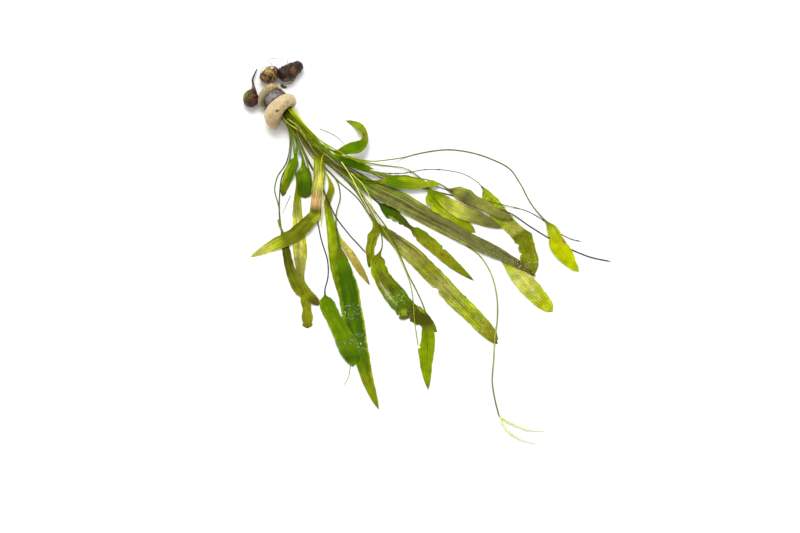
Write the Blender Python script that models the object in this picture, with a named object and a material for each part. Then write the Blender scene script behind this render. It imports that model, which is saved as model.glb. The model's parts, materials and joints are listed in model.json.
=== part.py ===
"""Aponogeton, a rooted water plant, lying as it is lifted out for planting.

Three tubers sit at the head of a foam strip that a lead weight cinches in the middle.
A bundle of leaf stalks leaves the mouth of the foam and fans out over the table.
Each leaf is one solid, its stalk and blade together, and lies on whatever is under it.

Lengths in the tables are millimetres. The origin is on the table under the lead weight,
+Y runs from the leaves to the tubers and +Z is up.
"""

import math
from collections import namedtuple

import bpy
import numpy as np

MM = 0.001

# Driving sizes of the leaves
STALK = 1.2
BLADE_THICKNESS = 0.8
TIP_WIDTH = 1.2
LAYER_GAP = 0.35
SIDE_GAP = 0.3
STEEPEST = 0.3
FINE_COUNT = 600
SETTLE_ROUNDS = 30
STALK_STEP = 12.0
BLADE_STEP = 7.5

# Driving sizes of the foam strip, the lead weight and the mouth that the stalks leave.
# AXIS points along the foam from the tubers to the leaves.
AXIS = np.array([0.6, -0.8])
ACROSS = np.array([0.8, 0.6])
AXIS_HEIGHT = 9.9
WAIST_RADIUS = 8.7
WEIGHT_WIDTH = 8.4
WEIGHT_THICKNESS = 1.1
MOUTH_AT = 24.5
MOUTH_HALF_WIDTH = 9.2
MOUTH_HALF_HEIGHT = 9.2
MOUTH_HEIGHT = 14.5
MOUTH_SILL = 7.0
STALKS_START = 17.2
STALKS_APART = 2.1
STALKS_SHIFT = -1.6
RAMP_LENGTH = 42.0

Finish = namedtuple("Finish", "colour roughness metallic")
DEEP_GREEN = Finish((0.05, 0.13, 0.01), 0.35, 0.0)
LEAF_GREEN = Finish((0.14, 0.28, 0.01), 0.35, 0.0)
YELLOW_GREEN = Finish((0.40, 0.50, 0.03), 0.35, 0.0)
OLIVE = Finish((0.12, 0.13, 0.02), 0.4, 0.0)
PALE_OLIVE = Finish((0.33, 0.36, 0.10), 0.4, 0.0)
OCHRE = Finish((0.35, 0.30, 0.05), 0.4, 0.0)
STEM_BROWN = Finish((0.06, 0.06, 0.03), 0.45, 0.0)
FLOWER_CREAM = Finish((0.75, 0.78, 0.45), 0.5, 0.0)
TUBER_BROWN = Finish((0.08, 0.04, 0.03), 0.7, 0.0)
TUBER_GOLD = Finish((0.30, 0.17, 0.06), 0.5, 0.0)
CROWN_OLIVE = Finish((0.16, 0.14, 0.04), 0.6, 0.0)
FOAM_CREAM = Finish((0.72, 0.62, 0.42), 0.95, 0.0)
LEAD_GREY = Finish((0.25, 0.23, 0.27), 0.5, 0.8)

# A leaf: the slot of its stalk in the row of stalks across the mouth, from -2.5 to 2.5, its
# stalk's points (x, y) on the table, its blade's points (x, y, width) or (x, y, width,
# twist in degrees) from base to tip, and the blade point where it is creased over, if any.
Leaf = namedtuple("Leaf", "name finish slot stalk blade crease", defaults=(None,))

# In stacking order: each leaf lies on the ones before it. Each six or so fill one row of
# the mouth, and lie from left to right in it, so that they don't cross near the mouth.
LEAVES = (
    Leaf("leaf_left_outer", OLIVE, -2.5,
         [(13, -66), (3, -85), (1, -97), (5, -115), (8, -140)],
         [(10, -149, 5), (13, -165, 8), (17, -184, 9.5), (24, -203, 12),
          (32, -216, 12), (34, -228, 8.5), (34.5, -239, 10), (35, -250, 1)]),
    Leaf("leaf_left_inner", PALE_OLIVE, -1.5,
         [(21, -66), (23, -90)],
         [(24, -106, 7), (24, -126, 10), (26, -148, 13), (27, -167, 14),
          (27.5, -184, 9.5), (29, -199, 5), (35, -212, 5), (46, -225, 2)]),
    Leaf("leaf_ochre", OCHRE, -0.5,
         [(33, -64), (48, -92), (59, -126)],
         [(66, -150, 4), (79, -171, 8), (89, -189, 7), (97, -203, 1)]),
    Leaf("leaf_broad_olive", PALE_OLIVE, 0.5,
         [(49, -64), (70, -84), (83, -100), (93, -117), (102, -132)],
         [(110, -142, 5), (122, -153, 13), (136, -166, 17), (151, -182, 18),
          (167, -200, 18), (185, -221, 18), (202, -239, 17), (216, -256, 13),
          (224, -267, 3)]),
    Leaf("leaf_nibbled", LEAF_GREEN, 1.5,
         [(54, -64), (87, -93), (105, -112)],
         [(116, -122, 8), (131, -134, 9), (145, -146, 12), (160, -160, 12.5),
          (175, -175, 11), (189, -188, 7), (201, -198, 1)]),
    Leaf("leaf_right_bend", PALE_OLIVE, 2.5,
         [(63, -60), (100, -77), (130, -79), (153, -75), (175, -76), (195, -82)],
         [(210, -95, 2), (216, -108, 12), (225, -122, 17), (237, -137, 17),
          (248, -151, 15), (254, -165, 15.5), (256, -179, 14), (258, -194, 4)]),
    Leaf("stem_left", STEM_BROWN, -2.5,
         [(16, -64), (8, -84), (6, -104), (6, -127), (7, -140)], []),
    Leaf("leaf_collar_round", DEEP_GREEN, -1.5,
         [(26, -54)],
         [(29, -64, 6), (30, -74, 12), (30.5, -86, 15.5), (31, -98, 13),
          (32, -107, 5)]),
    Leaf("leaf_front_bright", YELLOW_GREEN, -0.5,
         [(39, -62), (53, -80)],
         [(58, -96, 4), (54, -114, 5), (56, -128, 7), (60, -146, 11),
          (62, -165, 13), (64, -187, 11), (66, -205, 6.5), (68, -219, 1)]),
    Leaf("leaf_curly", OLIVE, 0.5,
         [(49, -70), (65, -88), (85, -108), (96, -126)],
         [(102, -136, 4), (101, -148, 8.5), (97.5, -160, 8), (97.5, -172, 8),
          (96, -184, 2)]),
    Leaf("flower_stalk", OLIVE, 1.5,
         [(59, -67), (93, -98), (125, -119), (165, -144), (191, -158), (207, -171),
          (217, -188), (223, -211), (224, -239), (221.5, -260), (220, -285),
          (218.5, -308), (221.5, -330), (225.5, -347)], []),
    Leaf("leaf_right_spoon", YELLOW_GREEN, 2.5,
         [(59, -64), (95, -88), (119, -106), (159, -129), (199, -149), (222, -164)],
         [(231, -172, 6), (239, -183, 15), (251, -199, 18), (264, -215, 17),
          (273, -225, 12), (279, -232, 4)]),
    Leaf("leaf_collar_small", DEEP_GREEN, -2.5,
         [(23, -51)],
         [(22, -62, 7), (18, -77, 11), (14, -90, 8), (9, -105, 1)]),
    Leaf("stem_dark_short", STEM_BROWN, -1.5,
         [(37, -70), (51, -102), (61, -125), (73, -143), (93, -168)], []),
    Leaf("leaf_front_dark", DEEP_GREEN, -0.5,
         [(45, -66), (65, -92), (67, -106), (63, -126), (64, -149)],
         [(67, -167, 4), (69.5, -182, 14), (74, -203, 20), (78, -226, 21),
          (83, -253, 19.5), (89, -282, 15.5), (97, -313, 10), (102.5, -329, 5.5),
          (106, -338, 1)]),
    Leaf("leaf_damaged", OLIVE, 0.5,
         [(53, -66), (77, -86), (89, -106), (100, -127), (108, -146), (109, -161)],
         [(105, -173, 4), (106, -187, 12), (113, -202, 17), (124, -217, 19),
          (136, -230, 18), (148, -241, 16), (157, -248, 11), (164, -254, 2)]),
    Leaf("leaf_long_strip", PALE_OLIVE, 1.5,
         [(59, -61), (83, -78)],
         [(102, -91, 4), (122, -102, 9), (139, -111, 9), (157, -122, 6),
          (173, -131, 1)]),
    Leaf("stem_right_short", STEM_BROWN, 2.5,
         [(64, -65), (107, -80), (147, -89), (193, -104), (231, -115), (254, -121),
          (274, -134), (289, -147), (298, -152), (309, -155)], []),
    Leaf("leaf_front_spoon", LEAF_GREEN, -2.5,
         [(30, -60), (39, -93), (43, -123), (48, -152), (55, -180), (55, -194),
          (52, -209)],
         [(53, -220, 7), (57, -231, 13.5), (63, -244, 15), (70, -258, 15),
          (76, -274, 14), (79.5, -285, 9), (80, -292, 2)]),
    Leaf("leaf_folded_yellow", PALE_OLIVE, -1.5,
         [(38, -52)],
         [(44, -62, 8), (46, -77, 12), (45, -93, 11.5), (43, -110, 10.5),
          (42, -126, 12), (29, -142, 15), (15, -152, 15), (1, -159, 12.5),
          (-12, -166, 8), (-23, -172, 1)], 4),
    Leaf("leaf_hanging", YELLOW_GREEN, -0.5,
         [(51, -66), (81, -96), (106, -128), (118, -148), (128, -173), (136, -193),
          (144, -210), (152, -232)],
         [(154, -246, 10), (155, -260, 13), (154, -276, 13.5), (153, -291, 11),
          (154, -306, 6.5), (155, -317, 1)]),
    Leaf("stem_pale", PALE_OLIVE, 0.5,
         [(57, -68), (87, -102), (111, -144), (123, -165), (131, -184), (137, -201),
          (140, -220), (141, -237), (145, -270)], []),
    Leaf("leaf_long_olive", OLIVE, 1.5,
         [(38, -53)],
         [(57, -70, 3), (77, -84, 7), (97, -97, 14), (127, -113, 17),
          (157, -130, 14), (172, -138, 15), (193, -151, 14), (217, -164, 13),
          (233, -173, 11), (247, -182, 7.5), (263, -194, 1)]),
    Leaf("stem_right_long", STEM_BROWN, 2.5,
         [(63, -64), (103, -82), (143, -94), (183, -105), (217, -116), (239, -125),
          (257, -138), (276, -151), (299, -164), (317, -172), (338, -177)], []),
    Leaf("stem_curled_pale", PALE_OLIVE, -2.5,
         [(45, -52), (54, -57), (49, -66), (49, -94), (49, -116), (48, -140)], []),
    Leaf("leaf_bright_short", LEAF_GREEN, 2.5,
         [(40, -44), (67, -65), (107, -70), (135, -76), (149, -87)],
         [(157, -99, 9), (167, -110, 16), (177, -121, 14), (187, -131, 10.5),
          (195, -139, 6.5), (203, -145, 1)]),
    Leaf("leaf_glassy_lower", PALE_OLIVE, -0.5,
         [(34, -51), (61, -68), (103, -82), (147, -92)],
         [(161, -103, 6), (175, -114, 14), (190, -123, 16), (207, -130, 14),
          (220, -136, 9), (230, -141, 1)]),
    Leaf("leaf_glassy_upper", PALE_OLIVE, 1.5,
         [(38, -47), (63, -69), (99, -81), (123, -85), (149, -87), (169, -93)],
         [(177, -99, 3), (186, -103, 12), (198, -110, 15.5), (212, -117, 13),
          (226, -125, 9.5), (241, -132, 1)]),
    Leaf("leaf_side_green", LEAF_GREEN, 0.5,
         [(36, -49), (71, -78), (93, -91)],
         [(110, -90, 4), (123, -91, 13), (136, -92, 14), (148, -93, 11),
          (158, -93, 6.5), (167, -93, 1)]),
    Leaf("leaf_side_dark", DEEP_GREEN, 0.5,
         [(36, -48)],
         [(59, -68, 3), (73, -72, 9), (87, -76, 9), (101, -78, 1)]),
    Leaf("leaf_curled", LEAF_GREEN, 1.5,
         [(38, -46), (50, -60)],
         [(64, -64.5, 3), (76.5, -59.5, 10.5), (85, -55.5, 13, 8), (91, -48.5, 10, 20),
          (91.5, -40.5, 7.5, 25), (89, -34, 8, 22), (84.5, -27, 7, 10),
          (78, -22.5, 4.5), (72, -20, 1)]),
    Leaf("leaf_arched", YELLOW_GREEN, 2.5,
         [(40, -44), (54, -58), (75, -68.5), (98, -71), (115, -67), (147, -57),
          (177, -53), (198, -56), (218, -63), (238, -75), (248, -91), (258, -112),
          (268, -127)],
         [(276, -137, 3), (282, -151, 12.5), (288, -164, 16), (295, -175, 13),
          (301, -183, 7), (306, -188, 1)]),
)

# Spikes of the flower head: their points (x, y) and the radius at each.
FLOWER_SPIKES = {
    "flower_spike_left": [(227, -349.5, 1.2), (230, -359, 2.0), (237, -367, 2.2),
                          (249, -374, 1.9), (263, -378, 1.0)],
    "flower_spike_right": [(228.5, -347.5, 1.2), (236, -355, 2.0), (247, -360, 2.1),
                           (259, -363, 1.8), (271, -363.5, 1.0)],
}
FLORET_SWELL = 0.18
FLORET_PITCH = 4.2

# Tubers: points (x, y, z) along the core and the radius at each.
TUBERS = {
    "tuber_left": (TUBER_BROWN, [
        (-25, -5, 5.5, 2.5), (-24.6, -3, 6.5, 6.2), (-23.6, 1.7, 7.2, 7.6),
        (-22.4, 6.2, 7.6, 6.4), (-21.4, 9.8, 8, 3.4), (-21.2, 14.4, 7.5, 1.6),
        (-22.2, 23.6, 5.5, 1), (-20.4, 30.3, 3.5, 0.75), (-17.9, 37.4, 2, 0.5)]),
    "tuber_middle": (TUBER_GOLD, [
        (-13.2, 25.8, 7, 2.2), (-11, 26.3, 7.6, 6.4), (-6, 27.8, 8.6, 8.8),
        (-1.8, 28.4, 8.8, 8.2), (0.6, 28.6, 8.4, 5.6), (2.2, 28.6, 8, 2.2)]),
    "tuber_dark": (TUBER_BROWN, [
        (4.6, 23.6, 7, 2.4), (6.4, 24.6, 7.6, 5.2), (9.2, 26.6, 8.4, 7.8),
        (13, 29.4, 8.4, 8.2), (17.5, 33, 8.2, 7.2), (21.5, 35.8, 7.8, 6.2),
        (25.1, 38.6, 7.4, 5.2), (27.9, 41, 7, 2.8)]),
}
TUBER_SIDES = 14
TUBER_LUMPS = 0.07

# Foam strip: distance along the axis, offset across it, half width, half height and
# height of the middle. The first five, above the waist, lean over the weight's left end,
# and the last three run back down the mouth and are squarer.
FOAM_SECTIONS = (
    (-13.5, 1.2, 5.0, 4.0, 10.0), (-12.8, 1.2, 10.0, 8.2, 10.4),
    (-10.8, 0.8, 13.4, 11.2, 11.0), (-8.2, 0.6, 14.2, 12.0, 11.2),
    (-6.2, 0.0, 13.4, 11.8, 10.8), (-5.1, 0.0, 11.8, 11.2, AXIS_HEIGHT),
    (-4.9, 0.0, 9.6, 9.5, AXIS_HEIGHT), (-4.5, 0.0, WAIST_RADIUS, WAIST_RADIUS, AXIS_HEIGHT),
    (4.5, 0.0, WAIST_RADIUS, WAIST_RADIUS, AXIS_HEIGHT),
    (5.1, -0.3, 10.4, 9.8, AXIS_HEIGHT), (6.6, -1.2, 13.6, 12.2, 11.8),
    (9.5, -1.8, 16.6, 14.4, 13.4), (14.0, -2.0, 18.0, 15.3, 14.2),
    (19.5, -2.0, 18.2, 15.6, 14.4), (23.5, -1.8, 16.8, 14.2, 14.5),
    (25.0, -1.6, 14.0, 12.2, 14.5),
    (MOUTH_AT, STALKS_SHIFT, MOUTH_HALF_WIDTH + 0.7, MOUTH_HALF_HEIGHT + 0.6, MOUTH_HEIGHT),
    (21.0, STALKS_SHIFT, MOUTH_HALF_WIDTH, MOUTH_HALF_HEIGHT - 0.4, MOUTH_HEIGHT),
    (12.2, STALKS_SHIFT, MOUTH_HALF_WIDTH - 0.4, MOUTH_HALF_HEIGHT - 0.8, MOUTH_HEIGHT),
)
FOAM_SIDES = 24
FOAM_WAIST_SECTION = 5
FOAM_LEAN_FROM = 4.0
FOAM_LEAN = 0.05
MOUTH_SQUARENESS = 0.62

# Crown in the bottom of the mouth: distance along the axis, half width and half height.
CROWN_SECTIONS = ((12.6, 5.0, 4.5), (13.2, 7.4, 6.6), (15.4, 7.0, 6.0), (16.7, 4.0, 3.2))
CROWN_SIDES = 12

# Lead weight: a strip wound once round the waist with its end lapped over the start.
WEIGHT_INNER_RADIUS = WAIST_RADIUS + 0.35
WEIGHT_START_DEG = 2.0
WEIGHT_TURN_DEG = 398.0
WEIGHT_STEPS = 26
WEIGHT_LAP_RISE = 1.6


def clear_scene():
    for item in list(bpy.data.objects):
        bpy.data.objects.remove(item, do_unlink=True)


def make_collection(name):
    collection = bpy.data.collections.new(name)
    bpy.context.scene.collection.children.link(collection)
    return collection


def make_material(name, finish):
    material = bpy.data.materials.new(name)
    material.use_nodes = True
    shader = material.node_tree.nodes["Principled BSDF"]
    shader.inputs["Base Color"].default_value = (*finish.colour, 1.0)
    shader.inputs["Roughness"].default_value = finish.roughness
    shader.inputs["Metallic"].default_value = finish.metallic
    return material


def loft(collection, name, finish, rings):
    """One closed body through rings of equally many points, in millimetres.

    The rings run along the body and turn anticlockwise seen from its far end, so the
    side faces and the two end fans all point outwards.
    """
    rings = np.asarray(rings, dtype=float)
    count, sides = rings.shape[:2]
    points = rings.reshape(-1, 3)
    here = np.arange(count * sides).reshape(count, sides)
    after = np.roll(here, -1, axis=1)
    quads = np.stack([here[:-1], after[:-1], after[1:], here[1:]], axis=-1)
    faces = quads.reshape(-1, 4).tolist()
    faces.append(here[0, ::-1].tolist())
    faces.append(here[-1].tolist())
    mesh = bpy.data.meshes.new(name)
    mesh.from_pydata((points * MM).tolist(), [], faces)
    mesh.validate()
    mesh.shade_smooth()
    mesh.materials.append(make_material(name, finish))
    body = bpy.data.objects.new(name, mesh)
    collection.objects.link(body)
    return body


def smooth_curve(points, knots, count):
    """Values along a smooth curve through the points, which it meets at the knots: a
    cubic Hermite curve whose slopes are the averages of the neighbouring chords'."""
    slopes = np.gradient(points, knots, axis=0)
    at = np.linspace(knots[0], knots[-1], count)
    low = np.clip(np.searchsorted(knots, at, side="right") - 1, 0, len(knots) - 2)
    span = (knots[low + 1] - knots[low])[:, None]
    f = (at - knots[low])[:, None] / span
    return (
        points[low] * (1 + 2 * f) * (1 - f) ** 2
        + points[low + 1] * f**2 * (3 - 2 * f)
        + span * slopes[low] * f * (1 - f) ** 2
        + span * slopes[low + 1] * f**2 * (f - 1)
    )


def travelled(points):
    """Distance over the table from the first point to each of them."""
    return np.concatenate(([0.0], np.cumsum(np.hypot(*np.diff(points[:, :2], axis=0).T))))


def evenly(points, step):
    """The smooth curve through the points, read at even steps of about this length."""
    points = np.asarray(points, dtype=float)
    fine = smooth_curve(points, travelled(points), FINE_COUNT)
    gone = travelled(fine)
    count = max(2, round(gone[-1] / step) + 1)
    at = np.linspace(0.0, gone[-1], count)
    return np.stack([np.interp(at, gone, column) for column in fine.T], axis=1)


def mouth_point(distance, across):
    """Place on the table of a point this far along the foam's axis and to its side."""
    return AXIS * distance + ACROSS * across


def leaf_points(leaf):
    """Rows x, y, width and twist for the whole leaf, and the row where its blade starts."""
    across = leaf.slot * STALKS_APART + STALKS_SHIFT
    start = [mouth_point(STALKS_START, across), mouth_point(MOUTH_AT + 5, across)]
    rows = [(x, y, STALK, 0.0) for x, y in [*start, *leaf.stalk]]
    base = len(rows) - 1
    for x, y, width, *twist in leaf.blade:
        rows.append((x, y, width, twist[0] if twist else 0.0))
    return np.array(rows, dtype=float), base


def stations_of(leaf):
    """Stations along a leaf as rows x, y, width and twist, and the crease's station."""
    rows, base = leaf_points(leaf)
    if not leaf.blade:
        return evenly(rows, STALK_STEP), None
    whole = smooth_curve(rows, travelled(rows), FINE_COUNT)
    split = np.argmin(np.hypot(whole[:, 0] - rows[base, 0], whole[:, 1] - rows[base, 1]))
    parts = [evenly(whole[: split + 1], STALK_STEP)]
    if leaf.crease is None:
        parts.append(evenly(whole[split:], BLADE_STEP)[1:])
        crease = None
    else:
        turn = base + 1 + leaf.crease
        parts.append(evenly(rows[base : turn + 1], BLADE_STEP)[1:])
        crease = sum(map(len, parts)) - 1
        parts.append(evenly(rows[turn:], BLADE_STEP)[1:])
    stations = np.concatenate(parts)
    stations[:, 2] = np.maximum(stations[:, 2], TIP_WIDTH)
    return stations, crease


class Table:
    """Heights of what already lies on the table, on a square grid in millimetres."""

    LOW = np.array([-60.0, -400.0])
    HIGH = np.array([360.0, 70.0])
    CELL = 0.3

    def __init__(self):
        shape = np.ceil((self.HIGH - self.LOW) / self.CELL).astype(int)
        x = self.LOW[0] + (np.arange(shape[0])[:, None] + 0.5) * self.CELL
        y = self.LOW[1] + (np.arange(shape[1])[None, :] + 0.5) * self.CELL
        along = x * AXIS[0] + y * AXIS[1]
        across = np.abs(x * ACROSS[0] + y * ACROSS[1] - STALKS_SHIFT)
        beyond = np.clip(along - MOUTH_AT, 0, None)
        fall = np.clip((beyond - 2) / RAMP_LENGTH, 0, 1)
        ramp = MOUTH_SILL * (1 - fall) ** 2 * (1 + 2 * fall)
        fan = (along > 0) & (across < MOUTH_HALF_WIDTH + 0.45 * beyond)
        self.height = np.where(fan, ramp, 0.0)

    def cells(self, x, y):
        column = ((x - self.LOW[0]) / self.CELL).astype(int)
        row = ((y - self.LOW[1]) / self.CELL).astype(int)
        return column, row

    def under(self, x, y):
        """Height on which something at these places comes to rest."""
        return self.height[self.cells(x, y)]

    def cover(self, x, y, top):
        np.maximum.at(self.height, self.cells(x, y), top)


def footprint(start, finish, spacing, margin):
    """Grid of places under a flat four-sided stretch between two stations.

    start and finish are rows x, y, side x, side y of the half width. Returns x, y and
    the share of the way from start to finish.
    """
    length = np.hypot(*(finish[:2] - start[:2]))
    half = max(np.hypot(*start[2:4]), np.hypot(*finish[2:4])) + margin
    along = np.linspace(0, 1, max(3, int(length / spacing) + 2))[:, None]
    over = np.linspace(-1, 1, max(3, int(2 * half / spacing) + 2))[None, :]
    middle = start[None, :2] * (1 - along) + finish[None, :2] * along
    side = start[None, 2:4] * (1 - along) + finish[None, 2:4] * along
    reach = np.hypot(side[:, 0], side[:, 1])[:, None]
    grown = side * (reach + margin) / reach
    x = middle[:, :1] + grown[:, :1] * over
    y = middle[:, 1:] + grown[:, 1:] * over
    return x, y, np.broadcast_to(along, x.shape)


def settle(table, plan, rise, depth):
    """Heights of a leaf's underside at its stations, straight in between.

    plan holds rows x, y, side x, side y; rise is what each station keeps below it and
    depth is its height. Each station starts at the highest thing under its two
    stretches and sinks until one of them touches. No stretch is steeper than STEEPEST.
    The leaf is then added to the table.
    """
    count = len(plan)
    gone = travelled(plan)
    apart = np.abs(gone[:, None] - gone[None, :])
    touches = [[] for _ in range(count)]
    low = rise.copy()
    for i in range(count - 1):
        x, y, share = footprint(plan[i], plan[i + 1], Table.CELL, SIDE_GAP)
        share = share[:, 0]
        need = table.under(x, y).max(axis=1) + rise[i] * (1 - share) + rise[i + 1] * share
        touches[i].append((i + 1, np.clip(1 - share, 1e-6, 1), need))
        touches[i + 1].append((i, np.clip(share, 1e-6, 1), need))
        low[i] = max(low[i], need.max())
        low[i + 1] = max(low[i + 1], need.max())
    for _ in range(SETTLE_ROUNDS):
        for i in range(count):
            floor = max(
                ((need - (1 - weight) * low[other]) / weight).max()
                for other, weight, need in touches[i]
            )
            low[i] += 0.5 * (min(low[i], max(floor, rise[i])) - low[i])
    low = (low[None, :] - STEEPEST * apart).max(axis=1)
    for i in range(count - 1):
        x, y, share = footprint(plan[i], plan[i + 1], Table.CELL * 0.8, 0.0)
        top = (low[i] + depth[i]) * (1 - share) + (low[i + 1] + depth[i + 1]) * share
        table.cover(x, y, top + LAYER_GAP)
    return low


def leaf_frames(stations, crease):
    """Side and up vectors of each station's section, and how much higher it sits.

    The side vector is half the width long and crosses the way that the leaf runs. Near a
    crease it leans until it lies along the crease, and past it the leaf is upside down.
    """
    ahead = np.gradient(stations[:, :2], axis=0)
    if crease is not None:
        ahead[crease] = stations[crease, :2] - stations[crease - 1, :2]
    ahead /= np.hypot(*ahead.T)[:, None]
    left = np.stack([-ahead[:, 1], ahead[:, 0]], axis=1)
    half = stations[:, 2] / 2
    twist = np.radians(stations[:, 3])
    side = np.zeros((len(stations), 3))
    up = np.zeros_like(side)
    side[:, :2] = left * (half * np.cos(twist))[:, None]
    side[:, 2] = half * np.sin(twist)
    up[:, :2] = -left * np.sin(twist)[:, None]
    up[:, 2] = np.cos(twist)
    return side, up, ahead


def creased(stations, crease):
    """The stations with the leaf turned over along a crease line, and their frames."""
    side, up, ahead = leaf_frames(stations, crease)
    left = np.stack([-ahead[:, 1], ahead[:, 0]], axis=1)
    after = ahead[crease + 1]
    before = ahead[crease]
    turn = math.atan2(before[0] * after[1] - before[1] * after[0], before @ after)
    lean_most = math.copysign(1 / math.tan(abs(turn) / 2), turn)
    width = stations[crease, 2]
    blend_length = 1.25 * width
    gone = np.hypot(*(stations[:, :2] - stations[crease, :2]).T)
    lean = lean_most * np.clip(1 - gone / blend_length, 0, 1)
    half = (stations[:, 2] / 2)[:, None]
    flipped = np.arange(len(stations)) > crease
    upright = half * (left + ahead * lean[:, None])
    over = half * (-left + ahead * lean[:, None])
    side[:, :2] = np.where(flipped[:, None], over, upright)
    up[flipped] *= -1
    outward = np.append(before - after, 0)
    outward /= np.linalg.norm(outward)
    return side, up, outward, gone < blend_length * 1.2


SECTION = np.array([(-1, 0), (0, -1), (1, 0), (0, 1)])


def build_leaf(collection, table, leaf):
    """A leaf as one loft of four-sided sections, from its stalk in the mouth to its tip."""
    stations, crease = stations_of(leaf)
    blade_share = np.clip((stations[:, 2] - STALK) / 3, 0, 1)
    thickness = STALK + (BLADE_THICKNESS - STALK) * blade_share
    if leaf.blade:
        thickness[-1] = BLADE_THICKNESS * 0.7
    half_thick = thickness / 2
    if crease is None:
        side, up, _ = leaf_frames(stations, crease)
        reach_down = np.abs(side[:, 2]) + half_thick * np.abs(up[:, 2])
        flat = np.hypot(side[:, 0], side[:, 1])
        heading = side[:, :2] / np.maximum(flat, 1e-6)[:, None]
        plan_half = np.maximum(flat, half_thick)
        plan = np.hstack([stations[:, :2], heading * plan_half[:, None]])
        low = settle(table, plan, np.zeros(len(plan)), 2 * reach_down)
        middle = np.column_stack([stations[:, :2], low + reach_down])
    else:
        side, up, outward, near = creased(stations, crease)
        bend = half_thick[crease] + 0.5
        plan = np.hstack([stations[:, :2], side[:, :2]])
        rise = np.where(near & (np.arange(len(plan)) > crease), 2 * bend, 0.0)
        depth = thickness.copy()
        depth[crease] += 2 * bend
        low = settle(table, plan, rise, depth)
        middle = np.column_stack([stations[:, :2], low + half_thick])
        middle, side, up, half_thick = with_bend(
            middle, side, up, half_thick, crease, outward, bend
        )
    rings = [
        middle[i] + np.outer(SECTION[:, 0], side[i]) + np.outer(SECTION[:, 1], up[i] * half_thick[i])
        for i in range(len(middle))
    ]
    return loft(collection, leaf.name, leaf.finish, rings)


def with_bend(middle, side, up, half_thick, crease, outward, bend):
    """The stations with the half-round bend put in at the crease."""
    upright = np.array([0.0, 0.0, 1.0])
    extra = []
    for angle in np.radians((60, 120)):
        place = middle[crease] + outward * bend * math.sin(angle)
        place = place + upright * bend * (1 - math.cos(angle))
        facing = upright * math.cos(angle) - outward * math.sin(angle)
        extra.append((place, facing))
    top = middle[crease] + upright * 2 * bend
    places = [place for place, _ in extra] + [top]
    facings = [facing for _, facing in extra] + [-upright]
    at = crease + 1
    middle = np.insert(middle, at, places, axis=0)
    side = np.insert(side, at, [side[crease]] * 3, axis=0)
    up = np.insert(up, at, facings, axis=0)
    half_thick = np.insert(half_thick, at, [half_thick[crease]] * 3)
    return middle, side, up, half_thick


def round_loft(collection, name, finish, core, sides, swell):
    """A body of round sections along a core of points (x, y, z, radius).

    swell(ring number, angles) multiplies the radius and gives lumps and ridges.
    """
    core = np.asarray(core, dtype=float)
    ahead = np.gradient(core[:, :3], axis=0)
    ahead /= np.linalg.norm(ahead, axis=1)[:, None]
    side = np.cross([0.0, 0.0, 1.0], ahead)
    side /= np.linalg.norm(side, axis=1)[:, None]
    up = np.cross(ahead, side)
    angles = np.linspace(0, 2 * math.pi, sides, endpoint=False)
    rings = []
    for i, (x, y, z, radius) in enumerate(core):
        reach = radius * swell(i, angles)
        ring = np.array([x, y, z]) + np.outer(np.cos(angles) * reach, side[i])
        ring = ring + np.outer(np.sin(angles) * reach, up[i])
        ring[:, 2] = np.maximum(ring[:, 2], 0.0)
        rings.append(ring)
    return loft(collection, name, finish, rings)


def build_tubers(collection):
    def lumps(i, angles):
        return 1 + TUBER_LUMPS * np.sin(3 * angles + 1.9 * i) * np.cos(2 * angles - i)

    for name, (finish, core) in TUBERS.items():
        core = np.array(core, dtype=float)
        fine = smooth_curve(core, np.arange(len(core)), 2 * len(core) - 1)
        round_loft(collection, name, finish, fine, TUBER_SIDES, lumps)


def axis_ring(
    distance, offset, half_width, half_height, height, sides, power=1.0, lean=0.0
):
    """An oval section square to the foam's axis, flattened where it meets the table.

    Its sine and cosine are raised to the power, so one below 1 squares the oval up. A
    lean carries its left edge forward by so much of the square of what lies beyond.
    """
    angles = np.linspace(0, 2 * math.pi, sides, endpoint=False)
    cosine = np.sign(np.cos(angles)) * np.abs(np.cos(angles)) ** power
    sine = np.sign(np.sin(angles)) * np.abs(np.sin(angles)) ** power
    across = offset + half_width * cosine
    along = distance + lean * np.clip(-across - FOAM_LEAN_FROM, 0, None) ** 2
    x = AXIS[0] * along + ACROSS[0] * across
    y = AXIS[1] * along + ACROSS[1] * across
    z = np.maximum(height + half_height * sine, 0.0)
    return np.column_stack([x, y, z])


def build_foam(collection):
    rings = []
    for number, section in enumerate(FOAM_SECTIONS[:-3]):
        lean = FOAM_LEAN if number < FOAM_WAIST_SECTION else 0.0
        rings.append(axis_ring(*section, FOAM_SIDES, lean=lean))
    for section in FOAM_SECTIONS[-3:]:
        rings.append(axis_ring(*section, FOAM_SIDES, MOUTH_SQUARENESS))
    loft(collection, "foam_wrap", FOAM_CREAM, rings)


def build_crown(collection):
    rings = [
        axis_ring(distance, STALKS_SHIFT, half_width, half_height, MOUTH_HEIGHT, CROWN_SIDES)
        for distance, half_width, half_height in CROWN_SECTIONS
    ]
    loft(collection, "crown", CROWN_OLIVE, rings)


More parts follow.
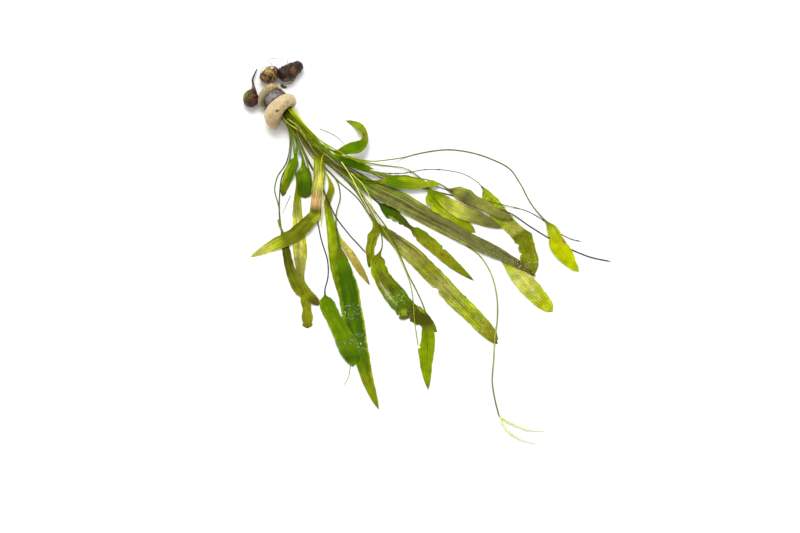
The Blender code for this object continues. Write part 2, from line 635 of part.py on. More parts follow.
def build_weight(collection):
    """A flat strip carried once round the waist on a spiral, its end lapped outside."""
    rings = []
    for share in np.linspace(0, 1, WEIGHT_STEPS):
        angle = math.radians(WEIGHT_START_DEG + WEIGHT_TURN_DEG * share)
        lap = np.clip((share - 0.80) / 0.12, 0, 1)
        inner = WEIGHT_INNER_RADIUS + WEIGHT_LAP_RISE * lap
        corners = []
        for along, radius in (
            (-WEIGHT_WIDTH / 2, inner),
            (WEIGHT_WIDTH / 2, inner),
            (WEIGHT_WIDTH / 2, inner + WEIGHT_THICKNESS),
            (-WEIGHT_WIDTH / 2, inner + WEIGHT_THICKNESS),
        ):
            across = radius * math.cos(angle)
            place = mouth_point(along, across)
            corners.append((*place, max(AXIS_HEIGHT + radius * math.sin(angle), 0.0)))
        rings.append(corners)
    loft(collection, "weight_band", LEAD_GREY, rings)


def build_spikes(collection):
    for name, points in FLOWER_SPIKES.items():
        line = evenly(points, FLORET_PITCH / 2)
        radius = line[:, 2] * (1 + FLORET_SWELL * np.where(np.arange(len(line)) % 2, 1, -1))
        core = np.column_stack([line[:, :2], radius, radius])
        round_loft(collection, name, FLOWER_CREAM, core, 6, lambda i, angles: np.ones_like(angles))


def main():
    clear_scene()
    collection = make_collection("aponogeton")
    build_tubers(collection)
    build_foam(collection)
    build_weight(collection)
    build_crown(collection)
    table = Table()
    for leaf in LEAVES:
        build_leaf(collection, table, leaf)
    build_spikes(collection)


main()
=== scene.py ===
"""Looks of a lifted aponogeton plant: leaves, stems, flower, tubers, foam, weight and stage.

Routes and sizes in the tables are millimetres in the plant's own frame, with the origin on
the table under the lead weight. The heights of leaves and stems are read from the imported
solids, so each of them lies where its solid lies.
"""

import json
import math
from collections import namedtuple

import bpy
import numpy as np
from bpy.props import FloatProperty, FloatVectorProperty, PointerProperty
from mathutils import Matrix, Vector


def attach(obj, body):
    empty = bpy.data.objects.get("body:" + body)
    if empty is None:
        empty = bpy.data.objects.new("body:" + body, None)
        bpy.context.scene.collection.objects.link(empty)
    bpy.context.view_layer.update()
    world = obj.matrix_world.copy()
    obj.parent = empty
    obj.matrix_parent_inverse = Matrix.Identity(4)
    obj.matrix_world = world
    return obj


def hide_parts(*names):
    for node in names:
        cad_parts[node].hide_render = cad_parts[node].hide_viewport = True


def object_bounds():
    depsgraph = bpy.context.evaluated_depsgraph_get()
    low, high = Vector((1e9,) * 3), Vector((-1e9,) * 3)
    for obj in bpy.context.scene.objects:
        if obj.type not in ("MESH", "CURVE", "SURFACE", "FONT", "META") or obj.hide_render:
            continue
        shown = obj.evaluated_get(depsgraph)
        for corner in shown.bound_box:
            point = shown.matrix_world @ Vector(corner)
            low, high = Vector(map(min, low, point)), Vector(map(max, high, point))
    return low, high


bl_info = {
    "name": "Aponogeton plant",
    "version": (1, 0, 0),
    "blender": (4, 5, 0),
    "location": "3D View > Sidebar > Plant",
    "description": "Builds the leaves, flower, tubers, foam, weight and stage of an aponogeton",
    "category": "Add Mesh",
}

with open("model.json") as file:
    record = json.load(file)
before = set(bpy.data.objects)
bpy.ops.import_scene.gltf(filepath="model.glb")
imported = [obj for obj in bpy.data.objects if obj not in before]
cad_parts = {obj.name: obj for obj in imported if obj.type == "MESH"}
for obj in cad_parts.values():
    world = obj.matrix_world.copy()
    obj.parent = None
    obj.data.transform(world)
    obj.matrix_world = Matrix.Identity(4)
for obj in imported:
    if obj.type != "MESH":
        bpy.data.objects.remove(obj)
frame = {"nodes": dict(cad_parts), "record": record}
CAD_LOW, CAD_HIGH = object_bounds()
SLOTS = {part["node"]: part["material_slot"] for part in frame["record"]["subparts"]}

MM = 0.001

# The solids' own sizes and steps, by which their stations are found again
STALK = 1.2
SOLID_BLADE = 0.8
TIP_WIDTH = 1.2
# Past this width a station has the thickness of a blade
BLADE_FROM_WIDTH = STALK + 1
STALK_STEP = 12.0
BLADE_STEP = 7.5
FINE_COUNT = 600
STATION_REACH = 0.9
AXIS = np.array([0.6, -0.8])
ACROSS = np.array([0.8, 0.6])
AXIS_HEIGHT = 9.9
WAIST_RADIUS = 8.7
MOUTH_AT = 24.5
MOUTH_HALF_WIDTH = 9.2
MOUTH_HALF_HEIGHT = 9.2
MOUTH_HEIGHT = 14.5
STALKS_START = 17.2
STALKS_CLEAR = MOUTH_AT + 5
STALKS_APART = 2.1
STALKS_SHIFT = -1.6

# Leaves of the scene: how much wider than its stalk a full blade is, the lengths over
# which the tip thins and narrows, the least half width and height, how far a blade's
# middle lies over its solid's underside, how far from the midrib's middle its swelling
# has fallen to a third, the length in the foam over which a stalk is painted darker as
# the shade of the mouth, and the number of stations before and after each over which the
# leaf's direction is averaged
BLADE_OPENS = 3.0
TIP_THINS = 3.0
TIP_NARROWS = 4.0
LEAST_HALF_WIDTH = 0.08
LEAST_HEIGHT = 0.05
BLADE_OVER_UNDERSIDE = 0.2
MIDRIB_REACH = 0.8
MOUTH_SHADE_LENGTH = 8.0
AVERAGED = 4
# The pale rim of a blade: its strength, and where it starts and how wide it is as shares
# of the half width
RIM_STRENGTH = 0.14
RIM_FROM = 0.86
RIM_WIDTH = 0.12
# A shape that starts before this share, well down the stalk, widens the stalk as well
ON_STALK = -0.5
# Distance along the pattern between two leaves, so that no two have the same streaks
PATTERN_APART = 317

# Sides of the rings of each mesh, and the number of rings
BLADE_SIDES = 40
STEM_SIDES = 12
TUBER_SIDES, TUBER_RINGS = 72, 90
FOAM_SIDES, FOAM_RINGS = 128, 110
CROWN_SIDES, CROWN_RINGS = 64, 24
WEIGHT_SIDES, WEIGHT_RINGS = 40, 220
STRAND_SIDES, STRAND_RINGS = 10, 50
SPIKE_SIDES = 12
FLORET_SIDES, FLORET_RINGS = 8, 6

# Long veins across a blade, the middle one the midrib
LONG_VEINS = 7
# Patterns of the materials in cells per metre: the bends in the fine veins are some 4 mm
# wide, the leaf's mottling 10 mm, its spots 2.4 mm, its painted glints 1.6 mm, the foam's
# clouds 5 mm
RUNG_BENDS = 260.0
MOTTLES = 95.0
SPOTS = 420.0
GLINTS = 620.0
FOAM_CLOUDS = 220.0

# A leaf's route: the slot of its stalk across the mouth, its stalk's points (x, y), its
# blade's points (x, y, width) or (x, y, width, twist in degrees), and which of the blade's
# points it is folded over at, counted from 0. Each leaf lies on those before it.
Route = namedtuple("Route", "slot stalk blade crease", defaults=(None,))

ROUTES = {
    "leaf_left_outer": Route(
        -2.5, [(13, -66), (3, -85), (1, -97), (5, -115), (8, -140)],
        [(10, -149, 5), (13, -165, 8), (17, -184, 9.5), (24, -203, 12),
         (32, -216, 12), (34, -228, 8.5), (34.5, -239, 10), (35, -250, 1)]),
    "leaf_left_inner": Route(
        -1.5, [(21, -66), (23, -90)],
        [(24, -106, 7), (24, -126, 10), (26, -148, 13), (27, -167, 14),
         (27.5, -184, 9.5), (29, -199, 5), (35, -212, 5), (46, -225, 2)]),
    "leaf_ochre": Route(
        -0.5, [(33, -64), (48, -92), (59, -126)],
        [(66, -150, 4), (79, -171, 8), (89, -189, 7), (97, -203, 1)]),
    "leaf_broad_olive": Route(
        0.5, [(49, -64), (70, -84), (83, -100), (93, -117), (102, -132)],
        [(110, -142, 5), (122, -153, 13), (136, -166, 17), (151, -182, 18),
         (167, -200, 18), (185, -221, 18), (202, -239, 17), (216, -256, 13),
         (224, -267, 3)]),
    "leaf_nibbled": Route(
        1.5, [(54, -64), (87, -93), (105, -112)],
        [(116, -122, 8), (131, -134, 9), (145, -146, 12), (160, -160, 12.5),
         (175, -175, 11), (189, -188, 7), (201, -198, 1)]),
    "leaf_right_bend": Route(
        2.5, [(63, -60), (100, -77), (130, -79), (153, -75), (175, -76), (195, -82)],
        [(210, -95, 2), (216, -108, 12), (225, -122, 17), (237, -137, 17),
         (248, -151, 15), (254, -165, 15.5), (256, -179, 14), (258, -194, 4)]),
    "stem_left": Route(
        -2.5, [(16, -64), (8, -84), (6, -104), (6, -127), (7, -140)], []),
    "leaf_collar_round": Route(
        -1.5, [(26, -54)],
        [(29, -64, 6), (30, -74, 12), (30.5, -86, 15.5), (31, -98, 13),
         (32, -107, 5)]),
    "leaf_front_bright": Route(
        -0.5, [(39, -62), (53, -80)],
        [(58, -96, 4), (54, -114, 5), (56, -128, 7), (60, -146, 11),
         (62, -165, 13), (64, -187, 11), (66, -205, 6.5), (68, -219, 1)]),
    "leaf_curly": Route(
        0.5, [(49, -70), (65, -88), (85, -108), (96, -126)],
        [(102, -136, 4), (101, -148, 8.5), (97.5, -160, 8), (97.5, -172, 8),
         (96, -184, 2)]),
    "flower_stalk": Route(
        1.5, [(59, -67), (93, -98), (125, -119), (165, -144), (191, -158), (207, -171),
              (217, -188), (223, -211), (224, -239), (221.5, -260), (220, -285),
              (218.5, -308), (221.5, -330), (225.5, -347)], []),
    "leaf_right_spoon": Route(
        2.5, [(59, -64), (95, -88), (119, -106), (159, -129), (199, -149), (222, -164)],
        [(231, -172, 6), (239, -183, 15), (251, -199, 18), (264, -215, 17),
         (273, -225, 12), (279, -232, 4)]),
    "leaf_collar_small": Route(
        -2.5, [(23, -51)],
        [(22, -62, 7), (18, -77, 11), (14, -90, 8), (9, -105, 1)]),
    "stem_dark_short": Route(
        -1.5, [(37, -70), (51, -102), (61, -125), (73, -143), (93, -168)], []),
    "leaf_front_dark": Route(
        -0.5, [(45, -66), (65, -92), (67, -106), (63, -126), (64, -149)],
        [(67, -167, 4), (69.5, -182, 14), (74, -203, 20), (78, -226, 21),
         (83, -253, 19.5), (89, -282, 15.5), (97, -313, 10), (102.5, -329, 5.5),
         (106, -338, 1)]),
    "leaf_damaged": Route(
        0.5, [(53, -66), (77, -86), (89, -106), (100, -127), (108, -146), (109, -161)],
        [(105, -173, 4), (106, -187, 12), (113, -202, 17), (124, -217, 19),
         (136, -230, 18), (148, -241, 16), (157, -248, 11), (164, -254, 2)]),
    "leaf_long_strip": Route(
        1.5, [(59, -61), (83, -78)],
        [(102, -91, 4), (122, -102, 9), (139, -111, 9), (157, -122, 6),
         (173, -131, 1)]),
    "stem_right_short": Route(
        2.5, [(64, -65), (107, -80), (147, -89), (193, -104), (231, -115), (254, -121),
              (274, -134), (289, -147), (298, -152), (309, -155)], []),
    "leaf_front_spoon": Route(
        -2.5, [(30, -60), (39, -93), (43, -123), (48, -152), (55, -180), (55, -194),
               (52, -209)],
        [(53, -220, 7), (57, -231, 13.5), (63, -244, 15), (70, -258, 15),
         (76, -274, 14), (79.5, -285, 9), (80, -292, 2)]),
    "leaf_folded_yellow": Route(
        -1.5, [(38, -52)],
        [(44, -62, 8), (46, -77, 12), (45, -93, 11.5), (43, -110, 10.5),
         (42, -126, 12), (29, -142, 15), (15, -152, 15), (1, -159, 12.5),
         (-12, -166, 8), (-23, -172, 1)], 4),
    "leaf_hanging": Route(
        -0.5, [(51, -66), (81, -96), (106, -128), (118, -148), (128, -173), (136, -193),
               (144, -210), (152, -232)],
        [(154, -246, 10), (155, -260, 13), (154, -276, 13.5), (153, -291, 11),
         (154, -306, 6.5), (155, -317, 1)]),
    "stem_pale": Route(
        0.5, [(57, -68), (87, -102), (111, -144), (123, -165), (131, -184), (137, -201),
              (140, -220), (141, -237), (145, -270)], []),
    "leaf_long_olive": Route(
        1.5, [(38, -53)],
        [(57, -70, 3), (77, -84, 7), (97, -97, 14), (127, -113, 17),
         (157, -130, 14), (172, -138, 15), (193, -151, 14), (217, -164, 13),
         (233, -173, 11), (247, -182, 7.5), (263, -194, 1)]),
    "stem_right_long": Route(
        2.5, [(63, -64), (103, -82), (143, -94), (183, -105), (217, -116), (239, -125),
              (257, -138), (276, -151), (299, -164), (317, -172), (338, -177)], []),
    "stem_curled_pale": Route(
        -2.5, [(45, -52), (54, -57), (49, -66), (49, -94), (49, -116), (48, -140)], []),
    "leaf_bright_short": Route(
        2.5, [(40, -44), (67, -65), (107, -70), (135, -76), (149, -87)],
        [(157, -99, 9), (167, -110, 16), (177, -121, 14), (187, -131, 10.5),
         (195, -139, 6.5), (203, -145, 1)]),
    "leaf_glassy_lower": Route(
        -0.5, [(34, -51), (61, -68), (103, -82), (147, -92)],
        [(161, -103, 6), (175, -114, 14), (190, -123, 16), (207, -130, 14),
         (220, -136, 9), (230, -141, 1)]),
    "leaf_glassy_upper": Route(
        1.5, [(38, -47), (63, -69), (99, -81), (123, -85), (149, -87), (169, -93)],
        [(177, -99, 3), (186, -103, 12), (198, -110, 15.5), (212, -117, 13),
         (226, -125, 9.5), (241, -132, 1)]),
    "leaf_side_green": Route(
        0.5, [(36, -49), (71, -78), (93, -91)],
        [(110, -90, 4), (123, -91, 13), (136, -92, 14), (148, -93, 11),
         (158, -93, 6.5), (167, -93, 1)]),
    "leaf_side_dark": Route(
        0.5, [(36, -48)],
        [(59, -68, 3), (73, -72, 9), (87, -76, 9), (101, -78, 1)]),
    "leaf_curled": Route(
        1.5, [(38, -46), (50, -60)],
        [(64, -64.5, 3), (76.5, -59.5, 10.5), (85, -55.5, 13, 8), (91, -48.5, 10, 20),
          (91.5, -40.5, 7.5, 25), (89, -34, 8, 22), (84.5, -27, 7, 10),
          (78, -22.5, 4.5), (72, -20, 1)]),
    "leaf_arched": Route(
        2.5, [(40, -44), (54, -58), (75, -68.5), (98, -71), (115, -67), (147, -57),
              (177, -53), (198, -56), (218, -63), (238, -75), (248, -91), (258, -112),
              (268, -127)],
        [(276, -137, 3), (282, -151, 12.5), (288, -164, 16), (295, -175, 13),
         (301, -183, 7), (306, -188, 1)]),
}

# How a leaf looks. stalk: colours of its stalk at even steps from the mouth to the blade.
# ramp: share along the blade and colour, pair by pair. veins: strength of the long ones.
# ruffle: height of the margin's waves in mm. fold: how far the halves of the blade rise
# from the midrib, as a share of its width. shape: (share along, factor of the left half
# width, factor of the right one). bites: (share along, side, share of the half width lost,
# half length in mm), where the side is 1 on the left and -1 on the right. marks: (share
# along, share across, half length share, half width share, colour, strength); a few of
# them are painted shade or painted highlights, as said where they stand. spots: strength
# of the brown spots. The pale specks, which are painted highlights of the wet blade:
# (share along, half length share, strength). thin: share of the stalk's usual thickness.
# clear: whether the blade is glassy. Left and right are those of the way the leaf grows.
# Shares along the leaf are measured from the blade's first point, so that they are below
# 0 on the stalk.
Look = namedtuple(
    "Look", "stalk ramp veins ruffle fold shape bites marks spots specks thin clear",
    defaults=("", 0.5, 0.8, 0.06, ((0, 1, 1), (1, 1, 1)), (), (), 0.15, (), 1.0, False),
)

LOOKS = {
    "leaf_left_outer": Look(
        "stem_green stem_olive stem_green stem_green",
        "0 olive, 0.12 dark_olive, 0.28 dark_olive, 0.45 olive, 0.7 bright_olive, "
        "0.9 bright_olive, 1 olive",
        1.1, 1.0, 0.1, shape=((0, 1, 1), (0.85, 1, 1), (0.95, 1.3, 1.3), (1, 5.5, 5.5)),
        bites=((0.66, -1, 0.3, 5), (0.48, 1, 0.25, 3)),
        marks=((0.5, 0.7, 0.3, 0.3, "bright_olive", 0.6), (0.3, -0.2, 0.3, 0.2, "olive", 0.7),
               (1.0, 0.4, 0.04, 0.5, "brown_olive", 0.6)), spots=0.4),
    "leaf_left_inner": Look(
        "stem_green bright_olive",
        "0 bright_olive, 0.1 pale_olive, 0.2 straw, 0.42 straw, 0.6 pale_olive, 0.68 pale_olive, "
        "0.78 bright_olive, 0.88 bright_olive, 0.95 brown_olive, 1 brown_olive",
        1.1, 0.7, 0.05, shape=((0, 1, 1), (0.7, 1, 1), (0.86, 1.7, 1.6), (0.96, 3, 2.6), (1, 4, 3.6)),
        marks=((0.3, 0.75, 0.4, 0.3, "lime", 0.7), (0.45, -0.3, 0.3, 0.25, "grey_olive", 0.5)),
        spots=0.3, clear=True),
    "leaf_ochre": Look(
        "bright_olive stem_brown",
        "0 straw, 0.3 ochre, 0.8 ochre, 1 brown_olive",
        0.7, 0.3, 0.04, marks=((0.2, 0.2, 0.3, 0.7, "straw", 0.7),), spots=0.4),
    "leaf_broad_olive": Look(
        "lime olive",
        "0 olive, 0.08 grey_olive, 0.2 pale_olive, 0.38 bright_olive, 0.5 pale_olive, 0.7 lime, "
        "0.93 bright_olive, 1 brown_olive",
        1.0, 0.7, 0.08, shape=((0, 1.6, 1.6), (0.08, 1, 1), (0.9, 1, 1), (1, 1.3, 1.3)),
        bites=((0.5, -1, 0.25, 4), (0.985, 1, 0.5, 1.5)),
        marks=((0.2, 0.5, 0.2, 0.22, "brown_olive", 0.7), (0.3, -0.45, 0.3, 0.2, "pale_olive", 0.7),
               (0.6, 0.05, 0.25, 0.1, "brown_olive", 0.7), (0.9, 0.1, 0.07, 0.14, "rust_and_highlight", 0.5),
               (0.65, 0.85, 0.35, 0.2, "lime", 0.6)),
        spots=0.4, specks=((0.75, 0.2, 0.4),)),
    "leaf_nibbled": Look(
        "olive stem_brown",
        "0 deep_green, 0.22 dark_olive, 0.3 olive, 0.45 bright_olive, 0.8 bright_olive, "
        "0.93 olive, 1 dark_olive",
        0.6, 1.0, 0.08,
        shape=((0, 2.2, 1.6), (0.08, 1.3, 1.2), (0.17, 0.8, 0.8), (0.22, 0.4, 0.35), (0.265, 0.35, 0.4),
               (0.29, 0.9, 0.75), (0.36, 1.05, 1.05), (1, 1, 1)),
        bites=((0.05, -1, 0.3, 1.6), (0.115, -1, 0.4, 2), (0.17, -1, 0.35, 1.4), (0.34, -1, 0.25, 1.5),
               (0.59, 1, 0.35, 2)),
        marks=((0.08, -0.7, 0.08, 0.3, "straw", 0.5), (0.63, 0.1, 0.08, 0.3, "rust_and_highlight", 0.5),
               (0.5, 0.7, 0.3, 0.3, "bright_green", 0.6), (0.33, 0.5, 0.06, 0.5, "mid_green", 0.8)),
        spots=0.6),
    "leaf_right_bend": Look(
        "lime stem_grey stem_grey",
        "0 lime, 0.35 lime, 0.5 pale_olive, 0.545 pale_olive, 0.57 olive, 0.66 bright_olive, "
        "1 bright_olive",
        0.6, 0.9, 0.08,
        shape=((0, 1.4, 1.2), (0.3, 0.95, 1), (0.5, 0.9, 0.85), (0.57, 1.2, 1), (0.62, 1.55, 1.05),
               (0.74, 1.12, 1), (1, 1.6, 1.2)),
        bites=((0.66, -1, 0.3, 3), (0.76, -1, 0.25, 2), (0.88, -1, 0.3, 3)),
        marks=((0.3, -0.5, 0.3, 0.35, "lime", 0.6),),
        spots=0.5, specks=((0.3, 0.12, 0.4), (0.85, 0.05, 0.5)), thin=0.5, clear=True),
    "stem_left": Look("stem_green stem_grey stem_brown stem_grey"),
    "leaf_collar_round": Look(
        "lime mid_green",
        "0 mid_green, 0.45 mid_green, 0.65 deep_green, 0.85 deep_green, 1 dark_olive",
        0.45, 0.9, 0.08,
        shape=((0, 0.4, 0.4), (0.2, 0.45, 0.45), (0.36, 1, 1), (0.75, 1, 1), (0.9, 1.3, 1.3),
               (1, 2.6, 2.4)),
        # The first straw mark is a painted highlight
        marks=((0.26, -0.6, 0.07, 0.3, "straw", 0.6), (0.35, 0.1, 0.2, 0.35, "bright_green", 0.45),
               (0.5, 0.9, 0.5, 0.2, "dark_olive", 0.7))),
    "leaf_front_bright": Look(
        "bright_olive lime",
        "0 bright_olive, 0.1 olive, 0.16 bright_olive, 0.32 bright_green, 0.7 bright_green, "
        "1 bright_olive",
        0.7, 0.9, 0.08,
        shape=((0, 1.6, 1.6), (0.1, 1.4, 1.4), (0.2, 1.15, 1.15), (0.35, 1, 1.1), (1, 1, 1)),
        marks=((0.42, -0.5, 0.25, 0.35, "lime", 0.8), (0.15, 0.2, 0.05, 0.8, "dark_olive", 0.6)),
        specks=((0.95, 0.03, 0.4),)),
    "leaf_curly": Look(
        "bright_olive olive",
        "0 olive, 0.2 bright_olive, 0.6 bright_olive, 0.85 olive, 1 dark_olive",
        0.7, 1.3, 0.12,
        shape=((0, 1.2, 1.2), (0.15, 1.5, 0.9), (0.3, 0.9, 1.5), (0.45, 1.3, 1), (0.6, 0.9, 1.2),
               (0.8, 1, 1), (1, 1, 1)),
        marks=((0.3, -0.8, 0.4, 0.3, "bright_green", 0.7), (0.5, 0.3, 0.3, 0.25, "dark_olive", 0.6)),
        spots=0.4),
    "flower_stalk": Look(
        "bright_olive bright_olive stem_olive stem_olive pale_olive pale_olive stem_olive "
        "pale_olive stem_olive pale_olive stem_olive stem_grey", thin=1.15),
    "leaf_right_spoon": Look(
        "lime olive olive",
        "0 bright_olive, 0.15 lime, 0.4 straw, 0.65 lime, 0.85 chartreuse, 1 lime",
        0.6, 0.7, 0.06, shape=((0, 1.6, 1.6), (0.12, 1, 1), (0.85, 1.1, 1.1), (1, 1.3, 1.3)),
        marks=((0.5, 0.0, 0.35, 0.4, "straw", 0.5),), spots=0.2, specks=((0.45, 0.45, 0.7),)),
    "leaf_collar_small": Look(
        "lime mid_green",
        "0 mid_green, 0.5 mid_green, 0.8 olive, 1 dark_olive",
        0.5, 0.8, 0.16,
        shape=((0, 0.5, 0.5), (0.04, 0.55, 0.55), (0.12, 0.95, 1.15), (0.3, 0.85, 1.05),
               (0.6, 0.75, 1.3), (0.85, 0.9, 2), (1, 2.5, 3.5)),
        marks=((0.45, -0.75, 0.4, 0.35, "lime", 0.7), (0.55, 0.5, 0.3, 0.35, "deep_green", 0.8))),
    "stem_dark_short": Look("stem_green stem_brown stem_brown"),
    "leaf_front_dark": Look(
        "bright_olive olive stem_grey",
        "0 olive, 0.06 mid_green, 0.14 deep_green, 0.55 deep_green, 0.72 mid_green, "
        "0.82 bright_olive, 0.93 bright_green, 1 brown_olive",
        0.5, 0.8, 0.06, shape=((0, 1.8, 1.8), (0.07, 1.1, 1.1), (0.15, 1, 1), (1, 1, 1)),
        marks=((0.5, 0.95, 0.45, 0.16, "lime", 0.8), (0.3, -0.85, 0.3, 0.2, "bright_green", 0.6),
               (0.45, -0.1, 0.3, 0.3, "mid_green", 0.5), (0.75, 0.35, 0.1, 0.4, "dark_olive", 0.55)),
        spots=0.15, specks=((0.38, 0.04, 0.75), (0.575, 0.045, 0.75))),
    "leaf_damaged": Look(
        "bright_olive olive",
        "0 olive, 0.1 bright_green, 0.25 olive, 0.5 mid_green, 0.68 dark_olive, 0.86 dark_olive, "
        "0.94 olive, 1 olive",
        0.9, 0.5, 0.08,
        shape=((-0.08, 1, 1), (0, 3.2, 3.2), (0.08, 1.6, 1.6), (0.2, 1.2, 1.05), (0.45, 1.15, 1.1),
               (0.56, 1, 1.15), (0.66, 1, 1.6), (0.7, 1.15, 1.1), (0.76, 1.15, 0.85), (1, 1, 1)),
        bites=((0.71, -1, 0.4, 1.6), (0.62, -1, 0.25, 1.3), (0.83, -1, 0.3, 3)),
        marks=((0.38, -0.5, 0.15, 0.24, "bleach_and_highlight", 0.95), (0.37, 0.15, 0.08, 0.3, "dark_olive", 0.95),
               (0.2, -0.9, 0.25, 0.25, "bright_green", 0.8), (0.2, 0.0, 0.13, 0.4, "brown_olive", 0.7),
               (0.4, 0.85, 0.35, 0.2, "mid_green", 0.6), (0.62, -0.5, 0.05, 0.4, "lime", 0.6),
               (0.74, 0.85, 0.06, 0.25, "lime", 0.8)),
        spots=0.6, specks=((0.5, 0.05, 0.5), (0.68, 0.05, 0.3))),
    "leaf_long_strip": Look(
        "lime olive", "0 olive, 0.5 pale_olive, 1 olive", 0.9, 0.5, 0.06, spots=0.2),
    "stem_right_short": Look(
        "bright_olive stem_olive stem_olive stem_grey stem_grey stem_brown", thin=0.6),
    "leaf_front_spoon": Look(
        "bright_olive olive stem_brown stem_brown",
        "0 mid_green, 0.75 mid_green, 0.88 deep_green, 1 mid_green",
        0.55, 0.8, 0.07,
        shape=((-0.09, 0.3, 0.3), (-0.03, 2, 1.8), (0.03, 1.8, 1.7), (0.12, 1.2, 1.2), (0.25, 1, 1),
               (1, 1.5, 1.5)),
        marks=((0.3, -0.8, 0.35, 0.3, "bright_green", 0.8), (0.3, 0.1, 0.25, 0.12, "bright_green", 0.5)),
        specks=((0.66, 0.04, 0.6),)),
    "leaf_folded_yellow": Look(
        "bright_olive",
        "0 bright_olive, 0.05 lime, 0.14 straw, 0.25 straw, 0.31 tan, 0.37 tan, 0.41 brown_olive, "
        "0.45 bright_olive, 0.5 olive, 0.73 olive, 0.79 lime, 0.9 straw, 1 lime",
        1.3, 0.3, 0.05,
        marks=((0.17, -0.85, 0.22, 0.2, "bright_olive", 0.8), (0.17, 0.85, 0.22, 0.25, "bright_olive", 0.9),
               # The dark_olive line across the whole blade at the crease is painted shade in the fold
               (0.43, 0.0, 0.02, 1.0, "dark_olive", 0.6), (0.47, 0.6, 0.05, 0.5, "lime", 0.8),
               (0.62, -0.3, 0.12, 0.3, "bright_olive", 0.6), (0.58, -0.85, 0.12, 0.2, "dark_olive", 0.6)),
        spots=0.2),
    "leaf_hanging": Look(
        "bright_olive olive",
        "0 dark_olive, 0.08 olive, 0.15 bright_green, 0.8 bright_green, 0.95 bright_olive, 1 olive",
        0.7, 0.5, 0.08,
        shape=((0, 1, 1), (0.3, 1, 1.05), (0.4, 1, 1.4), (0.5, 1.05, 1.2), (0.75, 1.05, 1), (1, 1, 1)),
        bites=((0.365, -1, 0.25, 1.5),), marks=((0.5, 0.0, 0.5, 0.09, "mid_green", 0.8),)),
    "stem_pale": Look("lime bright_olive", thin=0.8),
    "leaf_long_olive": Look(
        "olive",
        "0 olive, 0.06 olive, 0.11 mid_green, 0.17 mid_green, 0.26 grey_olive, 0.86 grey_olive, "
        "0.95 brown_olive, 1 dark_olive",
        1.4, 0.5, 0.05,
        shape=((0, 1, 1), (0.3, 1, 1), (0.5, 1, 1.15), (0.75, 1, 1.12), (0.9, 1, 1), (1, 1.3, 1.3)),
        marks=((0.3, -0.3, 0.25, 0.14, "pale_olive", 0.9), (0.28, 0.45, 0.2, 0.12, "pale_olive", 0.8),
               (0.22, 0.85, 0.2, 0.25, "bright_green", 0.6), (0.45, 0.1, 0.3, 0.14, "dark_olive", 0.8),
               (0.55, -0.85, 0.3, 0.2, "pale_olive", 0.7), (0.87, 0.45, 0.12, 0.3, "dark_olive", 0.6)),
        spots=0.3, specks=((0.8, 0.05, 0.3), (0.93, 0.05, 1.0))),
    "stem_right_long": Look("bright_olive stem_olive stem_grey stem_brown stem_brown"),
    "stem_curled_pale": Look("straw lime straw", thin=0.9),
    "leaf_bright_short": Look(
        "chartreuse lime bright_olive",
        "0 bright_green, 0.25 bright_green, 0.45 lime, 0.7 bright_green, 1 bright_olive",
        0.6, 0.8, 0.08,
        shape=((-1.8, 1, 1), (-1.5, 3, 3), (-1.2, 3, 3), (-1.05, 1, 1), (-0.05, 0.5, 0.5),
               (0.02, 0.4, 0.6), (0.07, 0.7, 1.7), (0.15, 1, 1.8), (0.45, 1, 1.4), (0.7, 1, 1.1),
               (1, 2, 2)),
        bites=((0.2, -1, 0.3, 1.6),),
        marks=((0.3, -0.9, 0.3, 0.3, "lime", 0.8), (0.5, 0.6, 0.3, 0.3, "mid_green", 0.5))),
    "leaf_glassy_lower": Look(
        "bright_olive stem_olive",
        "0 bright_green, 0.12 lime, 0.35 straw, 0.42 straw, 0.56 pale_olive, 0.78 grey_olive, "
        "1 grey_olive",
        0.8, 0.6, 0.06,
        marks=((0.3, -0.2, 0.25, 0.6, "lime", 0.4), (0.9, -0.95, 0.25, 0.12, "stem_brown", 0.6)),
        specks=((0.3, 0.12, 0.3),), clear=True),
    "leaf_glassy_upper": Look(
        "bright_olive bright_olive stem_olive",
        "0 olive, 0.1 pale_olive, 0.25 grey_olive, 0.6 pale_olive, 1 grey_olive",
        0.9, 0.6, 0.06,
        shape=((-1.35, 1, 1), (-1.15, 2.8, 2.8), (-0.8, 2.8, 2.8), (-0.65, 1, 1), (-0.05, 1, 1),
               (0, 2.2, 1.0), (0.15, 1.3, 0.9), (0.25, 1.25, 0.85), (0.4, 0.85, 0.9), (0.6, 0.9, 0.9),
               (0.8, 1, 1), (1, 2, 2)),
        marks=((0.02, 0.0, 0.04, 0.9, "stem_brown", 0.9), (0.2, 0.85, 0.12, 0.3, "lime", 0.5),
               (0.5, -0.92, 0.45, 0.12, "stem_brown", 0.85), (0.97, 0.0, 0.02, 1.0, "stem_brown", 0.5)),
        clear=True),
    "leaf_side_green": Look(
        "lime bright_olive dark_olive",
        "0 bright_olive, 0.1 mid_green, 0.3 mid_green, 0.5 bright_green, 0.78 lime, 1 bright_green",
        0.5, 0.9, 0.08, shape=((0, 1.8, 1.5), (0.15, 1.1, 1.1), (0.8, 1, 1), (1, 2, 2)),
        bites=((0.76, 1, 0.5, 2.5),),
        marks=((0.45, 0.5, 0.2, 0.4, "lime", 0.7), (0.5, 0.95, 0.5, 0.14, "dark_olive", 0.7)),
        spots=0.1),
    "leaf_side_dark": Look(
        "mid_green",
        "0 bright_green, 0.2 deep_green, 0.7 deep_green, 0.9 mid_green, 1 bright_olive",
        0.4, 0.6, 0.1, marks=((0.4, 0.85, 0.5, 0.3, "lime", 0.8),)),
    "leaf_curled": Look(
        "lime mid_green",
        "0 olive, 0.15 mid_green, 0.45 mid_green, 0.5 olive, 0.62 bright_olive, 0.75 bright_green, "
        "0.93 bright_olive, 1 dark_olive",
        0.5, 0.4, 0.08,
        shape=((0, 1.8, 1.4), (0.12, 1.35, 1.2), (0.3, 1.1, 1.1), (0.44, 0.75, 0.75), (0.55, 0.8, 0.8),
               (0.7, 1.2, 1.15), (0.85, 1.2, 1.2), (1, 1, 1)),
